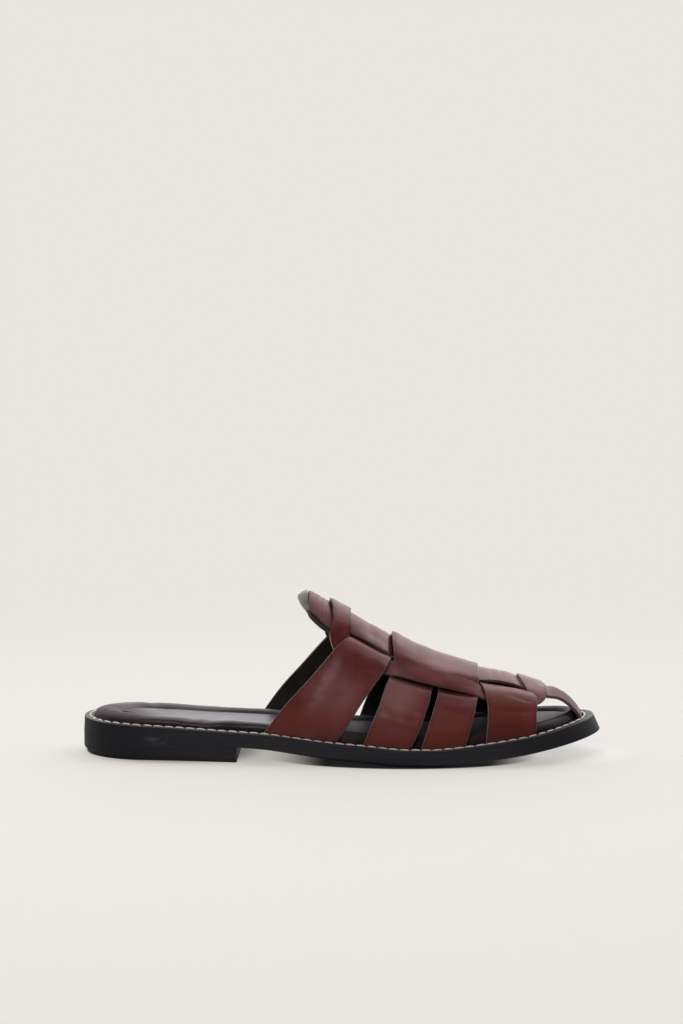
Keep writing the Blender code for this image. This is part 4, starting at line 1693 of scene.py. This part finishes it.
@dataclass
class Strap:
    """A strap: a sheet laid on the last, lined, with pale cut edges."""

    last: LastShape
    name: str = "strap"
    wall: float = 1.8
    layer: float = 1.85
    layer_blur: float = 0.02
    columns: int = 24
    rows: int = 150
    edge_round: float = 0.42
    edge_angle: float = 42.0
    tuck_depths: Ramp = (-1.7, -0.9)
    creases: tuple[Crease, ...] = ()

    def dents(self, x: np.ndarray, across: np.ndarray) -> np.ndarray:
        """Measure its creases and the leather's slight unevenness.

        Args:
            x: places along the foot.
            across: their distance across, lateral side negative.

        Returns:
            The height there.
        """
        height = 0.05 * np.sin(x / 5.1 + across / 7.0 + 0.7) + 0.04 * np.sin(across / 4.3 - x / 8.0)
        for crease in self.creases:
            height = height + crease.height(x, across)
        return height

    def tuck(self, lift: np.ndarray) -> np.ndarray:
        """Return how deep the leather is tucked under another strap, where it is painted in shade."""
        return 1 - smooth_step(lift, *self.tuck_depths)

    def dress(self, work: bmesh.types.BMesh) -> None:
        """Give the laid sheet its edge marks, finishes, wall and rounded edges.

        Args:
            work: the sheet, in metres.
        """
        note_edges(work)
        piece = finished(work, self.name, [OXBLOOD, STRAP_LINING, STRAP_EDGE])
        thicken(piece, self.wall, inner=1, rim=2)
        round_edges(piece, self.edge_round, self.edge_angle, material=2)
        place_on(piece, "upper")

    def build(self) -> None:
        """Build and dress the strap."""
        raise NotImplementedError


@dataclass
class Band(Strap):
    """A strap over the foot, from sole to sole."""

    edges: Table = COLLAR_EDGES

    def places(self, size: np.ndarray) -> np.ndarray:
        """Return x from the back edge to the front edge, at each distance from the crest."""
        back, front = self.edges.curve("back", size), self.edges.curve("front", size)
        return back + (front - back) * np.linspace(0, 1, self.columns)[None, :]

    def flare(self, x: np.ndarray, size: np.ndarray) -> np.ndarray:
        """Return how far the back edge stands off."""
        return 0 * x

    def cut(self, work: bmesh.types.BMesh) -> None:
        """Take out what the strap has no leather for."""

    def build(self) -> None:
        """Build and dress the strap."""
        around = np.linspace(-1, 1, self.rows)[:, None]
        size = np.abs(around)
        x = self.places(size)
        spread = around + 0 * x
        lift = self.edges.line("layer", size, self.layer_blur) * self.layer + self.flare(x, size)
        lift = lift + self.dents(x, spread * self.last.around_size)
        grid = self.last.lifted(self.last.side_point, x - self.last.set_back(around), spread, lift)
        work = laid_sheet(grid, tuck=self.tuck(lift))
        self.cut(work)
        self.dress(work)


@dataclass
class SplitBand(Band):
    """The wide middle strap, which splits into two legs on each side."""

    name: str = "middle_strap"
    columns: int = 16
    creases: tuple[Crease, ...] = MIDDLE_CREASES
    edges: Table = MIDDLE_EDGES
    slit_starts: float = 0.455
    flare_rise: float = 1.15
    flare_run: float = 3.2
    flare_press: float = 1.0
    flare_edge: float = 1.1
    flare_ends: Ramp = (0.18, 0.34)

    def places(self, size: np.ndarray) -> np.ndarray:
        """Find the places across both legs.

        Args:
            size: distance from the crest, from 0 to 1.

        Returns:
            x over the back leg and then the front leg, at each distance.
        """
        edges = ("back", "slit_back", "slit_front", "front")
        back, slit_back, slit_front, front = (self.edges.curve(edge, size) for edge in edges)
        share = np.linspace(0, 1, self.columns)[None, :]
        legs = [back + (slit_back - back) * share, slit_front + (front - slit_front) * share]
        return np.concatenate(legs, axis=1)

    def flare(self, x: np.ndarray, size: np.ndarray) -> np.ndarray:
        """Find how far the back edge stands off near the crest.

        Args:
            x: places across the strap.
            size: distance from the crest, from 0 to 1.

        Returns:
            The height there.
        """
        away = x - x[:, :1]
        height = self.flare_rise * np.exp(-away / self.flare_run)
        height = height - self.flare_press * hump(away, self.flare_edge)
        return height * (1 - smooth_step(size, *self.flare_ends))

    def cut(self, work: bmesh.types.BMesh) -> None:
        """Take out the narrow cells between the legs, down from where each slit starts.

        Args:
            work: the sheet.
        """
        across = 2 * self.columns - 1
        work.faces.ensure_lookup_table()
        middles = np.abs(np.linspace(-1, 1, self.rows)[:-1] + 1 / (self.rows - 1))
        split_rows = np.flatnonzero(middles > self.slit_starts)
        gone = [work.faces[row * across + self.columns - 1] for row in split_rows]
        bmesh.ops.delete(work, geom=gone, context="FACES")


@dataclass
class CentreStrap(Strap):
    """The long strap from the tongue to the toe."""

    name: str = "centre_strap"
    columns: int = 23
    rows: int = 230
    layer_blur: float = 2.0
    creases: tuple[Crease, ...] = CENTRE_CREASES
    stations: Table = CENTRE_STATIONS
    cap_share: float = 0.86
    lines: tuple[Triple, ...] = (
        (122.5, 0.15, 2.2),
        (124.3, -0.20, 0.5),
        (125.3, 0.12, 0.6),
        (126.3, -0.20, 0.5),
    )
    presses: tuple[tuple[float, Ramp, Ramp], ...] = (
        (0.4, (127.0, 130.0), (133.0, 138.0)),
        (0.9, (158.6, 161.6), (166.0, 190.0)),
    )
    edge_lift: float = 0.75
    edge_width: float = 6.0
    edge_lifts: tuple[Ramp, Ramp] = ((141.0, 151.0), (157.0, 161.0))
    ring_bow: float = 2.6
    ring_covers: tuple[Ramp, Ramp] = ((127.0, 128.4), (134.0, 137.0))
    middle_covers: tuple[Ramp, Ramp] = ((160.0, 161.6), (190.0, 200.0))

    def build(self) -> None:
        """Build and dress the strap."""
        last = self.last
        share = np.linspace(0, 1, self.rows)[:, None]
        start = self.stations.places[0]
        run = start + (last.toe_x - last.toe_cap - start) * share / self.cap_share
        turn = np.clip((share - self.cap_share) / (1 - self.cap_share), 0, 1) * np.pi / 2
        x = np.where(share < self.cap_share, run, last.toe_x - last.toe_cap * (1 - np.sin(turn)))
        across = np.linspace(-1, 1, self.columns)[None, :]
        beside = across * self.stations.curve("half", x)
        x = x + 0 * across
        lift = self.stations.line("layer", x, self.layer_blur) * self.layer + self.hem(x, beside)
        grid = last.lifted(last.crown_point, x, beside, lift)
        self.dress(laid_sheet(grid.transpose(1, 0, 2), tuck=self.covered(x, beside).T))

    def covered(self, x: np.ndarray, beside: np.ndarray) -> np.ndarray:
        """Find where the ring strap and the middle strap cover this one, where it is painted in shade.

        Args:
            x: places along the crest.
            beside: distance from the crest, lateral side negative.

        Returns:
            How far it is covered there, from 0 to 1.
        """
        bow = self.ring_bow * smooth_step(np.abs(beside), 0, 13)
        starts, ends = self.ring_covers
        ring = smooth_step(x - bow, *starts) * (1 - smooth_step(x, *ends))
        return np.maximum(ring, span(x, *self.middle_covers))

    def hem(self, x: np.ndarray, beside: np.ndarray) -> np.ndarray:
        """Measure the pressed seam lines, the places where other straps press, and the unevenness.

        Args:
            x: places along the crest.
            beside: distance from the crest, lateral side negative.

        Returns:
            The height there.
        """
        height = self.dents(x, beside)
        for depth, starts, ends in self.presses:
            height = height - depth * span(x, starts, ends)
        to_edge = np.abs(beside) - self.stations.curve("half", x)
        near_edge = smooth_step(to_edge, -self.edge_width, 0)
        height = height + self.edge_lift * span(x, *self.edge_lifts) * near_edge
        for place, depth, width in self.lines:
            height = height + depth * hump(x - place, width)
        return height


@dataclass
class RingStrap(Strap):
    """The closed ring strap woven through the others."""

    name: str = "ring_strap"
    columns: int = 11
    rows: int = 260
    layer_blur: float = 1.6
    stations: Table = RING_STATIONS
    lip_rise: float = 0.35
    lip_run: float = 2.4
    lip_press: float = 0.5
    lip_edge: float = 0.9
    lip_ends: float = 22.0
    press: float = 1.0
    press_width: float = 3.0
    press_starts: Ramp = (-17.0, -11.0)

    def outer_edge(self, away: np.ndarray, travel: np.ndarray, length: float) -> np.ndarray:
        """Measure the outer edge's lip at the back and its press under the toe strap at the front.

        Args:
            away: distance from the outer edge.
            travel: distance from the middle of the back.
            length: distance from there to the middle of the front.

        Returns:
            The height there.
        """
        lip = self.lip_rise * np.exp(-away / self.lip_run) - self.lip_press * hump(away, self.lip_edge)
        press = self.press * hump(away, self.press_width)
        return lip * (travel < self.lip_ends) - press * smooth_step(travel - length, *self.press_starts)

    def build(self) -> None:
        """Build and dress the strap."""
        size = self.last.around_size
        rows = self.stations.values
        line = np.stack([rows["x"], rows["around"] * size], axis=-1)
        travel = travelled(line)
        wanted = np.linspace(0, travel[-1], self.rows // 2)
        x, side = (spline(travel, column, wanted) for column in line.T)
        heading_x, heading_side = np.gradient(x, wanted), np.gradient(side, wanted)
        length = np.hypot(heading_x, heading_side)
        outer, inner = (np.interp(wanted, travel, rows[edge])[:, None] for edge in ("outer", "inner"))
        share = np.linspace(-1, 1, self.columns)[None, :]
        across = np.where(share > 0, share * outer, share * inner)
        layers = Table("travel layer tilt", *zip(travel, rows["layer"], rows["tilt"]))
        layer, tilt = (layers.line(name, wanted, self.layer_blur)[:, None] for name in ("layer", "tilt"))
        lift = layer * self.layer - share * tilt
        lift = lift + self.outer_edge(outer - across, wanted[:, None], travel[-1])
        grid_x = x[:, None] - (heading_side / length)[:, None] * across
        around = (side[:, None] + (heading_x / length)[:, None] * across) / size
        around[0] = around[-1] = 0
        loop_x = np.concatenate([grid_x, grid_x[-2::-1]])
        loop_around = np.concatenate([-around, around[-2::-1]])
        loop_lift = np.concatenate([lift, lift[-2::-1]]) + self.dents(loop_x, loop_around * size)
        loop_lift[-1] = loop_lift[0]
        placed_x = loop_x - self.last.set_back(loop_around)
        work = laid_sheet(self.last.lifted(self.last.side_point, placed_x, loop_around, loop_lift))
        bmesh.ops.remove_doubles(work, verts=work.verts, dist=0.01 * MM)
        self.dress(work)


@dataclass
class Upper:
    """The woven upper of five straps."""

    last: LastShape

    def build(self) -> "CentreStrap":
        """Build and dress the straps, and return the centre strap."""
        last = self.last
        centre = CentreStrap(last)
        collar = Band(last, "collar_strap", columns=26, creases=COLLAR_CREASES, edges=COLLAR_EDGES)
        toe = Band(last, "toe_strap", columns=22, rows=130, creases=TOE_CREASES, edges=TOE_EDGES)
        for strap in (centre, collar, SplitBand(last), toe, RingStrap(last)):
            strap.build()
        return centre


# Studio


@dataclass
class Studio:
    """Pale floor, soft lights and the camera."""

    distance: float = 1.6
    elevation: float = 10.3
    turn: float = 1.5
    lens: float = 107.04
    tilt: float = 4.4865
    backdrop: Triple = (0.823, 0.791, 0.745)
    floor_radius: float = 1.6
    aim: Triple = (0.0, 0.0, 0.03)

    def build(self) -> None:
        """Set up the floor, the light and the camera."""
        self.lay_floor()
        self.light_up()
        self.set_camera()

    def lay_floor(self) -> None:
        """A round pale floor whose rim fades into the backdrop."""
        work = bmesh.new()
        bmesh.ops.create_circle(work, cap_ends=True, segments=96, radius=self.floor_radius)
        finished(work, "floor", [FLOOR])

    def light_up(self) -> None:
        """A large overhead softbox, two soft fills and an even backdrop."""
        scene = bpy.context.scene
        scene.view_settings.view_transform = "Standard"
        world = bpy.data.worlds.new("backdrop")
        world.use_nodes = True
        scene.world = world
        workings = Workings(world.node_tree)
        plain = world.node_tree.nodes["Background"]
        plain.inputs["Color"].default_value = (*self.backdrop, 1.0)
        toward = workings.node("ShaderNodeTexCoord", {}, {}).outputs["Generated"]
        parts = workings.node("ShaderNodeSeparateXYZ", {}, {0: toward}).outputs
        behind, beside = Amount(workings, parts["Y"]), Amount(workings, parts["X"])
        side = beside.rise(0.22, 0.50) * (1 - beside.rise(0.58, 0.80))
        strength = 0.08 + behind.rise(-0.02, 0.45) * (1.6 + side * 1.5)
        soft = workings.node("ShaderNodeBackground", {}, {"Color": (0.95, 0.97, 1.0), "Strength": strength})
        seen = workings.node("ShaderNodeLightPath", {}, {}).outputs["Is Camera Ray"]
        mixed = workings.node("ShaderNodeMixShader", {}, {0: seen, 1: soft.outputs[0], 2: plain.outputs[0]})
        world.node_tree.links.new(mixed.outputs[0], world.node_tree.nodes["World Output"].inputs[0])
        self.softbox("overhead", (0.0, 0.5, 1.2), (1.6, 1.1), 5.0)
        self.softbox("front_fill", (-0.6, -1.0, 1.2), (1.0, 0.6), 6.5)

    def softbox(self, name: str, place: Triple, size: tuple[float, float], power: float) -> None:
        """Hang a rectangular light that faces the shoe.

        Args:
            name: the light's name.
            place: its middle, in metres.
            size: its width and height, in metres.
            power: its power, in watts.
        """
        lamp = bpy.data.lights.new(name, "AREA")
        lamp.shape = "RECTANGLE"
        lamp.size, lamp.size_y = size
        lamp.energy = power
        hung = bpy.data.objects.new(name, lamp)
        hung.location = place
        hung.rotation_euler = (Vector(self.aim) - Vector(place)).to_track_quat("-Z", "Y").to_euler()
        bpy.context.scene.collection.objects.link(hung)

    def set_camera(self) -> None:
        """Place the camera low on the lateral side, level with the shoe's length."""
        lens = bpy.data.cameras.new("camera")
        lens.sensor_width = 36.0
        lens.lens = self.lens
        camera = bpy.data.objects.new("camera", lens)
        climb, turn = math.radians(self.elevation), math.radians(self.turn)
        back = Vector((math.sin(turn) * math.cos(climb), -math.cos(turn) * math.cos(climb), math.sin(climb)))
        camera.location = Vector((0, -ORIGIN[1] * MM, 0)) + back * self.distance
        level = (-back).to_track_quat("-Z", "Y")
        camera.rotation_euler = (level @ Quaternion((1, 0, 0), math.radians(self.tilt))).to_euler()
        bpy.context.scene.collection.objects.link(camera)
        bpy.context.scene.camera = camera


def main() -> None:
    """Build every piece in order."""
    logging.basicConfig(level=logging.INFO, format="%(name)s: %(message)s")
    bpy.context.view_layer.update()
    Studio().build()
    pattern = SolePattern()
    last = LastShape(pattern)
    Sole(pattern).build()
    Footbed(pattern).build()
    centre = Upper(last).build()
    Tongue(last, centre).build()


if __name__ == "__main__":
    main()
